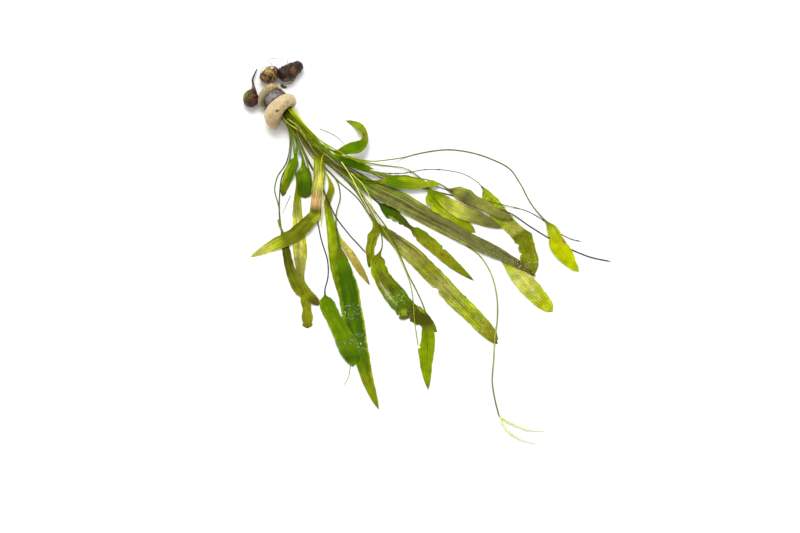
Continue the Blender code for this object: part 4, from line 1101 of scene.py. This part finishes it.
def foam_material():
    """Open-cell polyurethane foam: matt, full of torn pores that look darker than the cream
    walls between them, and soft enough to let a little light in."""
    material, tree = start_material("Open-cell foam")
    if tree is None:
        return material
    tint = add(tree, "ShaderNodeAttribute", attribute_name="tint").outputs["Color"]
    place = add(tree, "ShaderNodeTexCoord").outputs["Object"]
    cells = add(
        tree, "ShaderNodeTexVoronoi",
        {"Vector": place, "Scale": 1.0 / (in_mm("foam_cell") * MM), "Randomness": 1.0},
        feature="F1").outputs["Distance"]
    pore = add(tree, "ShaderNodeMapRange", {"Value": cells, **span(0.1, 0.6, 0.0, 1.0)})
    cloud = add(tree, "ShaderNodeTexNoise", {"Vector": place, "Scale": FOAM_CLOUDS, "Detail": 3.0})
    value = add(tree, "ShaderNodeMapRange", {"Value": pore, **span(0.0, 1.0, 0.72, 1.06)})
    shade = add(tree, "ShaderNodeMapRange", {"Value": cloud, **span(0.3, 0.7, 0.84, 1.08)})
    value = add(tree, "ShaderNodeMath", {0: value, 1: shade}, operation="MULTIPLY")
    body = add(tree, "ShaderNodeHueSaturation", {"Color": tint, "Value": value})
    height = add(tree, "ShaderNodeMath", {0: cloud, 1: 2.0, 2: pore}, operation="MULTIPLY_ADD")
    normal = add(tree, "ShaderNodeBump", {"Height": height, "Strength": 0.7, "Distance": 0.0003})
    surface = add(
        tree, "ShaderNodeBsdfPrincipled",
        {"Base Color": body, "Roughness": 0.95, "Sheen Weight": 0.25, "Sheen Roughness": 0.6,
         "Subsurface Weight": 0.15, "Subsurface Radius": (0.002, 0.0015, 0.001),
         "Normal": normal})
    add(tree, "ShaderNodeOutputMaterial", {"Surface": surface})
    return material


# Leaves and stems


def section_frames(stations):
    """Unit side and up vectors at each station. The side vector points left of the way that
    the leaf runs, averaged over a few stations, and turns with its twist."""
    ahead = np.gradient(stations[:, :2], axis=0)
    padded = np.pad(ahead, ((AVERAGED, AVERAGED), (0, 0)), mode="edge")
    window = np.ones(2 * AVERAGED + 1) / (2 * AVERAGED + 1)
    ahead = np.stack([np.convolve(column, window, mode="valid") for column in padded.T], axis=1)
    ahead /= np.hypot(*ahead.T)[:, None]
    left = np.stack([-ahead[:, 1], ahead[:, 0]], axis=1)
    twist = np.radians(stations[:, 3])
    side = np.column_stack([left * np.cos(twist)[:, None], np.sin(twist)])
    up = np.column_stack([-left * np.sin(twist)[:, None], np.cos(twist)])
    return side, up


def mix(tint, name, mask):
    """The tint with a named colour laid over it by the mask."""
    return tint * (1 - mask[..., None]) + colour(name) * mask[..., None]


def colours_at(at, places, names):
    """Named colours at their places, read in between."""
    return read_rows(at, places, np.array([colour(name) for name in names]))


def leaf_tint(look, line, across, seed):
    """Colour over a leaf: the stalk's colours up to the blade, the ramp along the blade, a
    paler rim, and then each mark as a soft-edged oval whose edge wanders."""
    names = look.stalk.split()
    tint = colours_at(line.stalk_share, np.linspace(0, 1, len(names)), names)
    on_blade = line.blade[:, None]
    if look.ramp:
        places, names = zip(*(pair.split() for pair in look.ramp.split(", ")))
        ramp = colours_at(line.share, np.array(places, dtype=float), names)
        tint = tint * (1 - on_blade) + ramp * on_blade
    tint = np.repeat(tint[:, None, :], len(across), axis=1)
    rim = RIM_STRENGTH * rising(np.abs(across), RIM_FROM, RIM_WIDTH)[None, :] * on_blade
    tint = mix(tint, "lime", rim)
    wander = 0.3 * waves(line.gone[:, None] * 0.45 + across[None, :] * 4.0, seed + 7)
    for place, sideways, length, width, name, strength in look.marks:
        far = np.hypot((line.share[:, None] - place) / length, (across[None, :] - sideways) / width)
        tint = mix(tint, name, strength * unit((1 - far + wander) * 2.0) * on_blade)
    return tint


# A leaf's middle line, with an entry for each of its stations: x, y, width and twist, the
# distance gone, the height of the solid, the shares of the way up the stalk and along the
# blade, which is -1 on a bare stem, and how far the stalk has opened into a blade, from 0
# to 1. blade_length is one number.
Line = namedtuple("Line", "stations gone height stalk_share share blade blade_length")


def leaf_line(name):
    """The middle line of a leaf, at the steps of the scene's own grid."""
    route = ROUTES[name]
    coarse, _, crease = stations_of(route, STALK_STEP, BLADE_STEP)
    coarse_gone = travelled(coarse)
    solid_height = solid_heights(name, coarse, crease)
    dense = smooth_curve(solid_height[:, None], coarse_gone, 8 * len(coarse))[:, 0]
    step = in_mm("grid_step")
    stations, first, _ = stations_of(route, step, step)
    gone = travelled(stations)
    height = np.interp(gone, np.linspace(0, coarse_gone[-1], len(dense)), dense)
    share = np.full(len(gone), -1.0)
    blade_length = 0.0
    if route.blade:
        from_start = np.hypot(*(stations[:, :2] - route.blade[0][:2]).T)
        start = gone[np.argmin(from_start)]
        blade_length = gone[-1] - start
        share = (gone - start) / blade_length
    blade = np.maximum(rising(stations[:, 2], STALK, BLADE_OPENS), share > 0.5)
    return Line(stations, gone, height, gone / gone[first], share, blade, blade_length)


def half_reach(look, line, half, seed):
    """Half widths on the left and on the right of the midrib: the leaf's own shape, a
    margin that wanders in long and short waves, and round bites out of it."""
    places = [row[0] for row in look.shape]
    shaped = np.maximum(line.blade, (line.share < ON_STALK) & (places[0] < ON_STALK))
    halves = []
    for way, column in ((1, 1), (-1, 2)):
        factor = np.interp(line.share, places, [row[column] for row in look.shape])
        factor = 1 + (factor - 1) * shaped
        long_waves = 0.05 * waves(line.gone / 6.0, seed + way)
        short_waves = 0.02 * waves(line.gone / 1.6, seed)
        reach = half * factor * (1 + line.blade * (long_waves + short_waves))
        for place, side, depth, length in look.bites:
            if side == way:
                off = (line.share - place) * line.blade_length / length
                reach = reach * (1 - depth * unit(1 - off**2))
        halves.append(reach)
    return halves


def blade_lift(look, line, half, out, across, seed):
    """How far the blade rises from its middle line: both halves by the fold, and the
    margins by waves that are out of step on the left and on the right."""
    ruffle = look.ruffle * line.blade * unit(half / 5)
    beat = 2 * math.pi * line.gone / in_mm("ruffle_length")
    out_of_step = 1.7 * np.sign(across)[None, :]
    beat = beat[:, None] + out_of_step + 1.3 * waves(line.gone / 25, seed)[:, None]
    lift = ruffle[:, None] * np.abs(across) ** 3 * (0.5 + 0.5 * np.sin(beat))
    return lift + look.fold * np.abs(out) * line.blade[:, None]


def add_leaf_attributes(piece, look, line, angles, seed):
    """Stores a leaf's colour, its place along and across the blade, and how strong its
    spots, painted glints and veins are. The underside is paler, and the part in the foam is
    painted darker as shade."""
    across = np.cos(angles)
    under = 0.25 * unit(-np.sin(angles))[None, :] * line.blade[:, None]
    tint = mix(leaf_tint(look, line, across, seed), "pale_olive", under)
    # Painted shade: the stalk darkens where it lies in the foam's mouth
    mouth_shade = 0.8 * unit(1 - line.gone / MOUTH_SHADE_LENGTH)[:, None] * np.ones(len(across))
    add_tint(piece, mix(tint, "dark_olive", mouth_shade))
    shape = tint.shape[:2]
    along = line.gone + seed * PATTERN_APART
    add_vector(piece, "blade", shape, (along[:, None], across[None, :], 0.0))
    # Painted highlights: the pale specks of the wet blade
    specks = np.zeros(len(line.share))
    for place, length, strength in look.specks:
        specks = np.maximum(specks, strength * unit(1.6 - np.abs(line.share - place) / length))
    veins = look.veins * line.blade
    add_vector(piece, "marks", shape, (look.spots, specks[:, None], veins[:, None]))


def build_leaf(name, seed):
    """A whole leaf as one closed surface over distance along it and angle round it.

    At each station the section is an oval: sideways its half width times the cosine of the
    angle, upwards half its thickness, more at the midrib, times the sine. It lies where
    the solid lies, and the blade rises out of its middle line by blade_lift.
    """
    look = LOOKS[name]
    line = leaf_line(name)
    angles = turn_angles(BLADE_SIDES if line.blade_length else STEM_SIDES)
    across, rise = np.cos(angles), np.sin(angles)
    left_to_go = line.gone[-1] - line.gone
    round_thick = STALK * look.thin
    thick = round_thick + (in_mm("blade_thickness") - round_thick) * line.blade
    thick = thick * unit(left_to_go / TIP_THINS + 0.3)
    half = np.where(line.blade > 0, np.maximum(line.stations[:, 2], thick), thick) / 2
    half = np.maximum(half * unit(left_to_go / TIP_NARROWS) ** 0.5, LEAST_HALF_WIDTH)

    left, right = half_reach(look, line, half, seed)
    out = np.where(across[None, :] >= 0, left[:, None], right[:, None]) * across[None, :]
    lift = blade_lift(look, line, half, out, across, seed)
    rib = in_mm("midrib_height") * line.blade * unit(half / 3)
    swell = thick[:, None] / 2 + rib[:, None] * np.exp(-((out / MIDRIB_REACH) ** 2))

    side, up = section_frames(line.stations)
    sink = (SOLID_BLADE / 2 - BLADE_OVER_UNDERSIDE) * line.blade
    middle_height = np.maximum(line.height - sink, thick / 2 + LEAST_HEIGHT)
    middle = np.column_stack([line.stations[:, :2], middle_height])
    rings = (
        middle[:, None, :]
        + side[:, None, :] * out[..., None]
        + up[:, None, :] * (lift + swell * rise[None, :])[..., None]
    )
    rings[..., 2] = np.maximum(rings[..., 2], LEAST_HEIGHT)
    piece = loft(f"{name}_skin", rings)
    add_leaf_attributes(piece, look, line, angles, seed)
    return piece


# Root end


def round_rings(core, sides, swell=1.0):
    """Rings round a core of rows x, y, z, radius: side times the cosine and up times the
    sine of the angle. swell multiplies the radius, for all rings or for each."""
    ahead = np.gradient(core[:, :3], axis=0)
    ahead /= np.linalg.norm(ahead, axis=1)[:, None]
    side = np.cross([0.0, 0.0, 1.0], ahead)
    side /= np.maximum(np.linalg.norm(side, axis=1), 1e-6)[:, None]
    up = np.cross(ahead, side)
    angles = turn_angles(sides)
    reach = core[:, 3:4] * (swell * np.ones(sides))
    rings = core[:, None, :3] + side[:, None, :] * (np.cos(angles) * reach)[..., None]
    rings = rings + up[:, None, :] * (np.sin(angles) * reach)[..., None]
    rings[..., 2] = np.maximum(rings[..., 2], 0.0)
    return rings


def lumps(places, size, seed):
    """Soft lumps over points in space: products of sines of the three coordinates, of this
    size in mm, at three scales."""
    draw = np.random.default_rng(seed)
    total = np.zeros(places.shape[:-1])
    for octave in range(3):
        pull = draw.normal(size=(3, 3)) * (1.8**octave) * 2.2 / size
        turned = places @ pull + draw.uniform(0, 6.28, 3)
        total += np.sin(turned).prod(axis=-1) / 1.5**octave
    return total


def with_rounded_ends(core):
    """The core with both ends closed by half an oval: the radius falls as the square root."""
    fine = smooth_curve(core, travelled(core, 3), TUBER_RINGS)
    fine[:, 3] = np.maximum(fine[:, 3], LEAST_TUBER_RADIUS)
    gone = travelled(fine, 3)
    for end, away in ((0, gone), (-1, gone[-1] - gone)):
        reach = max(core[end, 3] * 0.8, 0.3)
        fine[:, 3] *= np.sqrt(np.clip(away / reach, 0.004, 1))
    return fine


def build_tuber(name, seed):
    """A tuber: round sections along its core, rippled where roots stood, that swell with
    large and small lumps. Its hollows are darker, and its underside is painted darker as shade."""
    skin = TUBER_SKINS[name]
    core = with_rounded_ends(np.array(TUBERS[name], dtype=float))
    beat = travelled(core, 3)[:, None] * 2 * math.pi / skin.ripple_length
    rings = round_rings(core, TUBER_SIDES, 1 + skin.ripple * np.sin(beat))
    knobs = lumps(rings, skin.knob_size, seed)
    fine = lumps(rings, TUBER_LUMP, seed + 1)
    centre = core[:, None, :3]
    outward = rings - centre
    thick = unit(core[:, 3] / 6)[:, None, None]
    rings = centre + outward * (1 + thick * (skin.knob_height * knobs + 0.03 * fine)[..., None])
    rings[..., 2] = np.maximum(rings[..., 2], 0.0)
    piece = loft(f"{name}_skin", rings)

    tint = np.broadcast_to(colour("tuber_dark"), rings.shape)
    tint = mix(tint, skin.colour, unit(skin.bright + 0.9 * knobs + 0.6 * fine))
    tint = mix(tint, "tuber_dark", skin.ring_dark * unit(0.3 - np.sin(beat + 1.5 * knobs)))
    for place, size, shade, strength in PATCHES[name]:
        off = np.linalg.norm(rings - np.array(place), axis=-1) / size
        tint = mix(tint, shade, strength * unit((1.3 - off + 0.4 * fine) * 1.5))
    # Painted shade: the skin darkens towards the table
    add_tint(piece, mix(tint, "tuber_dark", 0.6 * unit(1 - rings[..., 2] / 6)))
    return piece


def from_axis(along, across, height):
    """Points x, y, z of distances along the foam's axis and across it, and of heights."""
    return np.stack([
        AXIS[0] * along + ACROSS[0] * across, AXIS[1] * along + ACROSS[1] * across,
        height], axis=-1)


def axis_rings(sections, sides):
    """Oval rings square to the foam's axis, from rows distance, offset, half width, half
    height, height. They are flat where they meet the table."""
    angles = turn_angles(sides)
    distance, offset, half_width, half_height, height = sections.T[..., None]
    across = offset + half_width * np.cos(angles)
    level = np.maximum(height + half_height * np.sin(angles), 0.0)
    return from_axis(distance, across, level), angles


def foam_shift(distance, across, height):
    """How far the foam's surface is moved along its axis and to the left. The mouth's top,
    right side and foot draw back from the stalks and its left side bulges. Both sides of
    the part next to the tubers lean over the weight, the right one more, and the left
    one's foot most of all."""
    off = across - STALKS_SHIFT
    beyond = rising(distance, 11, 10)
    draw_back = 2.6 * beyond * (height - MOUTH_HEIGHT) / MOUTH_HEIGHT
    reach_out = -beyond * (0.2 * off + 0.012 * np.clip(off, 0, None) ** 2)
    low = unit(1.1 - height / 12) * unit((off + 14) / 7)
    draw_back = draw_back + 9.0 * beyond * low
    bulge = 3.2 * rising(distance, 8, 8) * unit((-off - 7) / 8)
    upper = unit((-4.6 - distance) / 0.8)
    lean = np.where(across < 0, 0.03, 0.24) * np.clip(np.abs(across) - 4, 0, None) ** 2
    hang = 12.0 * unit(1 - height / 10) * unit((-across - 5) / 6)
    return reach_out - draw_back + upper * (lean + hang), bulge


def foam_tint(rings, distance, across, inside, rough):
    """Colours of the foam: tan next to the tubers, at the mouth and in its left corner, grey
    where water stood, and painted shade: brown inside the mouth and dark in the slit at the
    top. The tan at the mouth is partly the foam's stain and partly painted shade round the
    stalks."""
    off = across - STALKS_SHIFT
    by_tubers = unit(-4 - distance)
    tint = np.broadcast_to(colour("foam"), rings.shape)
    tint = mix(tint, "foam_tan", by_tubers * unit(0.85 + 0.6 * rough))
    pool = unit(1 - np.abs(distance + 6) / 6) * unit(-across / 9)
    tint = mix(tint, "foam_grey", 0.85 * pool)
    # Tan round the stalks at the mouth: partly the foam's stain, partly painted shade
    near_mouth = rising(distance, 18.5, 4) * unit(1.3 - np.abs(off) / 12)
    tint = mix(tint, "foam_tan", unit(near_mouth * (0.7 + 0.6 * rough)))
    corner = rising(distance, 14, 6) * unit((-off - 9) / 5)
    tint = mix(tint, "foam_tan", 0.6 * corner)
    tint = mix(tint, "foam_tan", 0.22 * (1 - by_tubers))
    # Painted shade inside the mouth
    tint = mix(tint, "brown_olive", 0.75 * inside * np.ones_like(across))
    # Painted shadow of the slit between two turns at the top
    slit = np.linalg.norm((rings - np.array(FOAM_SLIT)) / np.array(FOAM_SLIT_SIZE), axis=-1)
    return mix(tint, "tuber", 0.95 * unit(1.9 - slit))


def build_foam():
    """Foam strip: oval sections along its axis, swollen on both sides of the waist and
    moved by foam_shift, with soft lumps where nothing is tied round it."""
    sections = np.array(FOAM_SECTIONS)
    knots = np.concatenate(([0.0], np.cumsum(np.abs(np.diff(sections[:, 0])) + 0.8)))
    fine = smooth_curve(sections, knots, FOAM_RINGS)
    rings, _ = axis_rings(fine, FOAM_SIDES)
    distance = fine[:, 0:1]
    across = rings[..., 0] * ACROSS[0] + rings[..., 1] * ACROSS[1]
    shift, bulge = foam_shift(distance, across, rings[..., 2])
    rings[..., 0] += AXIS[0] * shift - ACROSS[0] * bulge
    rings[..., 1] += AXIS[1] * shift - ACROSS[1] * bulge
    centre = from_axis(*fine[:, [0, 1, 4]].T)[:, None, :]
    rough = lumps(rings, FOAM_LUMP, 6)
    soft = lumps(rings, FOAM_SWELL, 5) * 0.04 + rough * 0.014
    inside = (np.arange(len(fine)) > np.argmax(fine[:, 0]))[:, None]
    free = unit(np.abs(distance) / 3 - 1.4) * ~inside
    rings = rings + (rings - centre) * (soft * free)[..., None]
    rings[..., 2] = np.clip(rings[..., 2], 0.0, CAD_HIGH.z / MM)
    piece = loft("foam_strip", rings)
    add_tint(piece, foam_tint(rings, distance, across, inside, rough))
    finish_piece(piece, foam_material(), "foam_wrap")


def build_crown():
    """Crown: oval sections in the bottom of the mouth, ribbed by the leaf sheaths."""
    sections = np.array([(d, STALKS_SHIFT, w, h, MOUTH_HEIGHT) for d, w, h in CROWN_SECTIONS])
    fine = smooth_curve(sections, np.arange(4.0), CROWN_RINGS)
    rings, angles = axis_rings(fine, CROWN_SIDES)
    centre = rings.mean(axis=1, keepdims=True)
    ribs = 0.05 * np.cos(CROWN_RIBS * angles)
    rings = centre + (rings - centre) * (1 - 0.03 + ribs[None, :, None] * 0.6)
    piece = loft("crown_sheaths", rings)
    tint = np.broadcast_to(colour("brown_olive"), rings.shape)
    add_tint(piece, mix(tint, "olive", (0.5 + 10 * ribs) * np.ones(rings.shape[:2])))
    # Dry sheaths: papery and matt, with a fibrous grain
    material = rough_material("Papery leaf sheath", grain=1.2, depth=0.3, roughness=0.6)
    finish_piece(piece, material, "crown")


def squared(value, power):
    """A cosine or sine whose curve is made squarer, the more the smaller the power is."""
    return np.sign(value) * np.abs(value) ** power


def build_weight():
    """Lead strip wound once round the waist: a flat section with rounded edges carried on
    a spiral, dented, its end lapped over its start."""
    share = np.linspace(0, 1, WEIGHT_RINGS)
    angle = np.radians(WEIGHT_START_DEG + WEIGHT_TURN_DEG * share)
    lap = rising(share, 0.80, 0.12)
    lap = lap * lap * (3 - 2 * lap)
    radius = WEIGHT_INNER_RADIUS + WEIGHT_THICKNESS / 2 + WEIGHT_LAP_RISE * lap
    turn = turn_angles(WEIGHT_SIDES)
    along = WEIGHT_WIDTH / 2 * squared(np.cos(turn), 0.35)
    out = WEIGHT_THICKNESS / 2 * squared(np.sin(turn), 0.7)
    ends = np.clip(np.minimum(share, 1 - share) / 0.006, 0.05, 1) ** 0.5
    dents = 0.16 * waves(np.degrees(angle)[:, None] / 14 + along[None, :] / 2.1, 31)
    dents = dents * (out > 0)[None, :]
    reach = radius[:, None] + out[None, :] * ends[:, None] + dents
    edge = 1 + 0.03 * waves(np.degrees(angle) / 20, 33)
    along = along[None, :] * edge[:, None]
    height = np.maximum(AXIS_HEIGHT + reach * np.sin(angle)[:, None], 0.0)
    rings = from_axis(along, reach * np.cos(angle)[:, None], height)
    piece = loft("lead_strip", rings)
    blotch = lumps(rings, 5.0, 34)
    border = rising(np.abs(along), 3.3, 0.8) * 0.7
    hollow = np.maximum(unit(0.3 - 2.2 * dents + 0.5 * blotch), border)
    tint = np.broadcast_to(colour("lead"), rings.shape)
    add_tint(piece, mix(tint, "lead_dark", hollow))
    # Rolled lead under its tarnish: dull, half metallic, blotched and darker in the dents
    material = rough_material(
        "Tarnished lead", grain=2.4, depth=0.16, roughness=0.6, contrast=0.35, metallic=0.4)
    finish_piece(piece, material, "weight_band")


def build_strand(name):
    """A root, thread, sheath or thin stalk: a round tube along a smooth curve, half as
    thick at its free end, whose thickness wanders a little."""
    shade, radius, points = STRANDS[name]
    points = np.array(points, dtype=float)
    fine = smooth_curve(points, travelled(points, 3), STRAND_RINGS)
    taper = radius * (1 - 0.5 * np.linspace(0, 1, len(fine)) ** 2)
    taper = taper * (1 + 0.15 * waves(np.linspace(0, 30, len(fine)), len(name)))
    core = np.column_stack([fine, taper])
    core[:, 2] = np.maximum(core[:, 2], core[:, 3])
    rings = round_rings(core, STRAND_SIDES)
    piece = loft(name, rings)
    add_tint(piece, np.broadcast_to(colour(shade), rings.shape))
    # Plant fibre: matt, with a fine even grain
    material = rough_material("Fibrous root", grain=0.8, depth=0.1, roughness=0.6, contrast=0.2)
    finish_piece(piece, material, slot="tuber_gold" if name.startswith("root") else "leaf_olive")


# Flower


def floret_egg():
    """An egg of a few faces as rings of points x, y, z: the sine of the tilt times the
    cosine and sine of the turn, and minus its cosine, drawn out along z."""
    tilt = np.linspace(0, math.pi, FLORET_RINGS)[:, None]
    turn = turn_angles(FLORET_SIDES)[None, :]
    return np.stack([
        np.sin(tilt) * np.cos(turn), np.sin(tilt) * np.sin(turn),
        -np.cos(tilt) * FLORET_DRAWN_OUT + 0 * turn], axis=-1)


def floret_points(core, draw):
    """Points of all florets of a spike, floret by floret. Each stands on the next step of
    a spiral of golden angles and leans outwards."""
    width = in_mm("floret")
    count = int(travelled(core)[-1] / width * FLORETS_PER_WIDTH)
    at = np.linspace(0.02, 0.985, count) * (len(core) - 1)
    turn = np.arange(count) * math.radians(GOLDEN_ANGLE_DEG) + draw.normal(0, 0.25, count)
    rows = np.arange(len(core))
    centre = read_rows(at, rows, core)
    ahead = read_rows(at, rows, np.gradient(core[:, :2], axis=0))
    ahead /= np.hypot(*ahead.T)[:, None]
    left = np.column_stack([-ahead[:, 1], ahead[:, 0], np.zeros(count)])
    out = left * np.cos(turn)[:, None] + np.array([0, 0, 1.0]) * np.sin(turn)[:, None]
    full = centre[:, 3] / SPIKE_CORE
    size = np.minimum(width, full * 0.9) * draw.uniform(0.75, 1.1, count) / 2
    place = centre[:, :3] + out * (full - size)[:, None]

    egg = floret_egg()
    far = np.column_stack([ahead, np.zeros(count)])
    other = np.cross(out, far)
    points = (
        place[:, None, None, :]
        + size[:, None, None, None] * (
            far[:, None, None, :] * egg[None, ..., 0:1]
            + other[:, None, None, :] * egg[None, ..., 1:2]
            + out[:, None, None, :] * egg[None, ..., 2:3])
    )
    points[..., 2] = np.maximum(points[..., 2], 0.02)
    return points


def build_spike(name, seed):
    """A spike: a thin core, green at its foot, with florets set round it, of which the
    lowest are green too."""
    line = evenly(SPIKES[name], SPIKE_STEP)
    line[:, 2] *= SPIKE_SLIMNESS
    core = np.column_stack([line, line[:, 2] * SPIKE_CORE])
    rings = round_rings(core, SPIKE_SIDES)
    body = loft(name + "_core", rings)
    green = unit(1 - 1.3 * np.linspace(0, 1, len(core)))[:, None] * np.ones((1, SPIKE_SIDES))
    add_tint(body, mix(np.broadcast_to(colour("flower"), rings.shape), "flower_green", green))

    draw = np.random.default_rng(seed)
    points = floret_points(core, draw)
    count, per_floret = len(points), FLORET_RINGS * FLORET_SIDES
    quads = ring_quads(FLORET_RINGS, FLORET_SIDES)[None] + (np.arange(count) * per_floret)[:, None, None]
    blooms = mesh_piece(f"{name}_florets", points.reshape(-1, 3), quads.reshape(-1, 4).tolist())
    young = unit(1 - 4 * np.linspace(0, 1, count))
    shade = unit(draw.uniform(-0.9, 0.6, count) + young)
    tint = np.broadcast_to(colour("flower"), (count, per_floret, 3))
    add_tint(blooms, mix(tint, "flower_green", np.repeat(shade[:, None], per_floret, axis=1)))
    # Waxy petals: nearly smooth, with a soft gloss
    material = rough_material("Waxy floret", grain=0.8, depth=0.08, roughness=0.45, contrast=0.12)
    finish_piece(body, material, name)
    finish_piece(blooms, material, slot=SLOTS[name])


# The photo's view: straight up the plant from 65.4 degrees over the table, from far enough
# to be almost parallel. SCENE_WIDTH is the width of the frame at the target, in metres.
CAMERA_ELEVATION = math.asin(1 / 1.1)
CAMERA_DISTANCE = 6.6
CAMERA_TARGET = (0.127, -0.1822)
SCENE_WIDTH = 0.8
SENSOR = 36.0
FAR_CLIP = 60.0
FLOOR_HALF = 8.0
SKY_STRENGTH = 0.8
LAMP_SIZE = 1.0
LAMP_WATTS = 26.0
LAMP_PLACE = (-0.2, 0.75, 1.9)
LAMP_TARGET = (0.1, -0.15, 0.0)


def build_floor():
    """Floor: one flat square of plain pale paper, matt, with no sheen of its own."""
    corners = [(-FLOOR_HALF, -FLOOR_HALF, 0.0), (FLOOR_HALF, -FLOOR_HALF, 0.0),
               (FLOOR_HALF, FLOOR_HALF, 0.0), (-FLOOR_HALF, FLOOR_HALF, 0.0)]
    mesh = bpy.data.meshes.new("floor")
    mesh.from_pydata(corners, [], [(0, 1, 2, 3)])
    material, tree = start_material("Matt white paper")
    surface = add(
        tree, "ShaderNodeBsdfPrincipled",
        {"Base Color": (*colour("floor"), 1.0), "Roughness": 0.9})
    add(tree, "ShaderNodeOutputMaterial", {"Surface": surface})
    mesh.materials.append(material)
    placed("floor", mesh)


def build_lights(scene):
    """An even white sky, and one square softbox beyond the tubers, turned to the leaves."""
    world = bpy.data.worlds.new("studio")
    world.use_nodes = True
    sky = world.node_tree.nodes["Background"].inputs
    sky["Color"].default_value = (1, 1, 1, 1)
    sky["Strength"].default_value = SKY_STRENGTH
    scene.world = world

    lamp = bpy.data.lights.new("softbox", "AREA")
    lamp.shape = "SQUARE"
    lamp.size = LAMP_SIZE
    lamp.energy = LAMP_WATTS
    key = placed("softbox", lamp)
    key.location = LAMP_PLACE
    aim = np.array(LAMP_TARGET) - np.array(key.location)
    tilt = math.atan2(math.hypot(aim[0], aim[1]), -aim[2])
    key.rotation_euler = (tilt, 0.0, math.atan2(aim[1], aim[0]) - math.pi / 2)


def build_camera(scene):
    """Camera at the photo's angle, whose frame is SCENE_WIDTH wide at the target."""
    lens = bpy.data.cameras.new("camera")
    lens.sensor_width = SENSOR
    lens.lens = SENSOR * CAMERA_DISTANCE / SCENE_WIDTH
    lens.clip_end = FAR_CLIP
    camera = placed("camera", lens)
    camera.location = (
        CAMERA_TARGET[0],
        CAMERA_TARGET[1] - CAMERA_DISTANCE * math.cos(CAMERA_ELEVATION),
        CAMERA_DISTANCE * math.sin(CAMERA_ELEVATION),
    )
    camera.rotation_euler = (math.pi / 2 - CAMERA_ELEVATION, 0.0, 0.0)
    scene.camera = camera
    scene.view_settings.view_transform = "Standard"


# Operators


class PLANT_OT_leaves(bpy.types.Operator):
    """Build the leaves, each with its stalk"""

    bl_idname = "plant.leaves"
    bl_label = "Leaves"

    def execute(self, context):
        wet = leaf_material("Wet leaf", through=0.38)
        glassy = leaf_material("Thin wet leaf", through=0.45, clear=0.2)
        for seed, name in enumerate(ROUTES, 1):
            if name.startswith("leaf_"):
                finish_piece(build_leaf(name, seed), glassy if LOOKS[name].clear else wet, name)
        return {"FINISHED"}


class PLANT_OT_stems(bpy.types.Operator):
    """Build the bare stems and the flower's stalk"""

    bl_idname = "plant.stems"
    bl_label = "Stems"

    def execute(self, context):
        material = leaf_material("Wet stem", through=0.1)
        for seed, name in enumerate(ROUTES, 1):
            if not name.startswith("leaf_"):
                finish_piece(build_leaf(name, seed), material, name)
        return {"FINISHED"}


class PLANT_OT_flower(bpy.types.Operator):
    """Build the two spikes of the flower with their florets"""

    bl_idname = "plant.flower"
    bl_label = "Flower"

    def execute(self, context):
        for seed, name in enumerate(SPIKES, 60):
            build_spike(name, seed)
        return {"FINISHED"}


class PLANT_OT_tubers(bpy.types.Operator):
    """Build the three tubers"""

    bl_idname = "plant.tubers"
    bl_label = "Tubers"

    def execute(self, context):
        # Cork, wet: rough and dark-grained with a little gloss. The ringed skin is smoother
        # and wetter
        corky = rough_material(
            "Corky tuber skin", grain=1.6, depth=0.5, roughness=0.55, contrast=0.4, coat=0.15)
        ringed = rough_material(
            "Ringed tuber skin", grain=1.1, depth=0.4, roughness=0.42, contrast=0.45, coat=0.3)
        for seed, name in enumerate(TUBERS, 80):
            finish_piece(build_tuber(name, seed), ringed if name == "tuber_middle" else corky, name)
        return {"FINISHED"}


class PLANT_OT_roots(bpy.types.Operator):
    """Build the fine roots, loose threads, torn sheaths and thin stalks"""

    bl_idname = "plant.roots"
    bl_label = "Roots"

    def execute(self, context):
        for name in STRANDS:
            build_strand(name)
        return {"FINISHED"}


class PLANT_OT_foam(bpy.types.Operator):
    """Build the foam strip"""

    bl_idname = "plant.foam"
    bl_label = "Foam"

    def execute(self, context):
        build_foam()
        return {"FINISHED"}


class PLANT_OT_crown(bpy.types.Operator):
    """Build the crown in the mouth of the foam"""

    bl_idname = "plant.crown"
    bl_label = "Crown"

    def execute(self, context):
        build_crown()
        return {"FINISHED"}


class PLANT_OT_weight(bpy.types.Operator):
    """Build the lead weight"""

    bl_idname = "plant.weight"
    bl_label = "Weight"

    def execute(self, context):
        build_weight()
        return {"FINISHED"}


class PLANT_OT_stage(bpy.types.Operator):
    """Build the floor, the lights and the camera"""

    bl_idname = "plant.stage"
    bl_label = "Stage"

    def execute(self, context):
        build_floor()
        build_lights(context.scene)
        build_camera(context.scene)
        return {"FINISHED"}


class PLANT_PT_panel(bpy.types.Panel):
    """Sizes and colours of the plant, and its pieces"""

    bl_label = "Aponogeton"
    bl_idname = "PLANT_PT_panel"
    bl_space_type = "VIEW_3D"
    bl_region_type = "UI"
    bl_category = "Plant"

    def draw(self, context):
        for group in (context.scene.plant_sizes, context.scene.plant_colours):
            box = self.layout.box()
            for name in group.bl_rna.properties.keys():
                if name not in ("rna_type", "name"):
                    box.prop(group, name)
        for operator in OPERATORS:
            self.layout.operator(operator.bl_idname)


OPERATORS = (
    PLANT_OT_tubers,
    PLANT_OT_roots,
    PLANT_OT_foam,
    PLANT_OT_crown,
    PLANT_OT_weight,
    PLANT_OT_leaves,
    PLANT_OT_stems,
    PLANT_OT_flower,
    PLANT_OT_stage,
)
CLASSES = (PlantSizes, PlantColours, *OPERATORS, PLANT_PT_panel)


def register():
    for made in CLASSES:
        bpy.utils.register_class(made)
    bpy.types.Scene.plant_sizes = PointerProperty(type=PlantSizes)
    bpy.types.Scene.plant_colours = PointerProperty(type=PlantColours)


def unregister():
    del bpy.types.Scene.plant_colours
    del bpy.types.Scene.plant_sizes
    for made in reversed(CLASSES):
        bpy.utils.unregister_class(made)


def main():
    register()
    for operator in OPERATORS:
        category, name = operator.bl_idname.split(".")
        getattr(getattr(bpy.ops, category), name)()


if __name__ == "__main__":
    main()
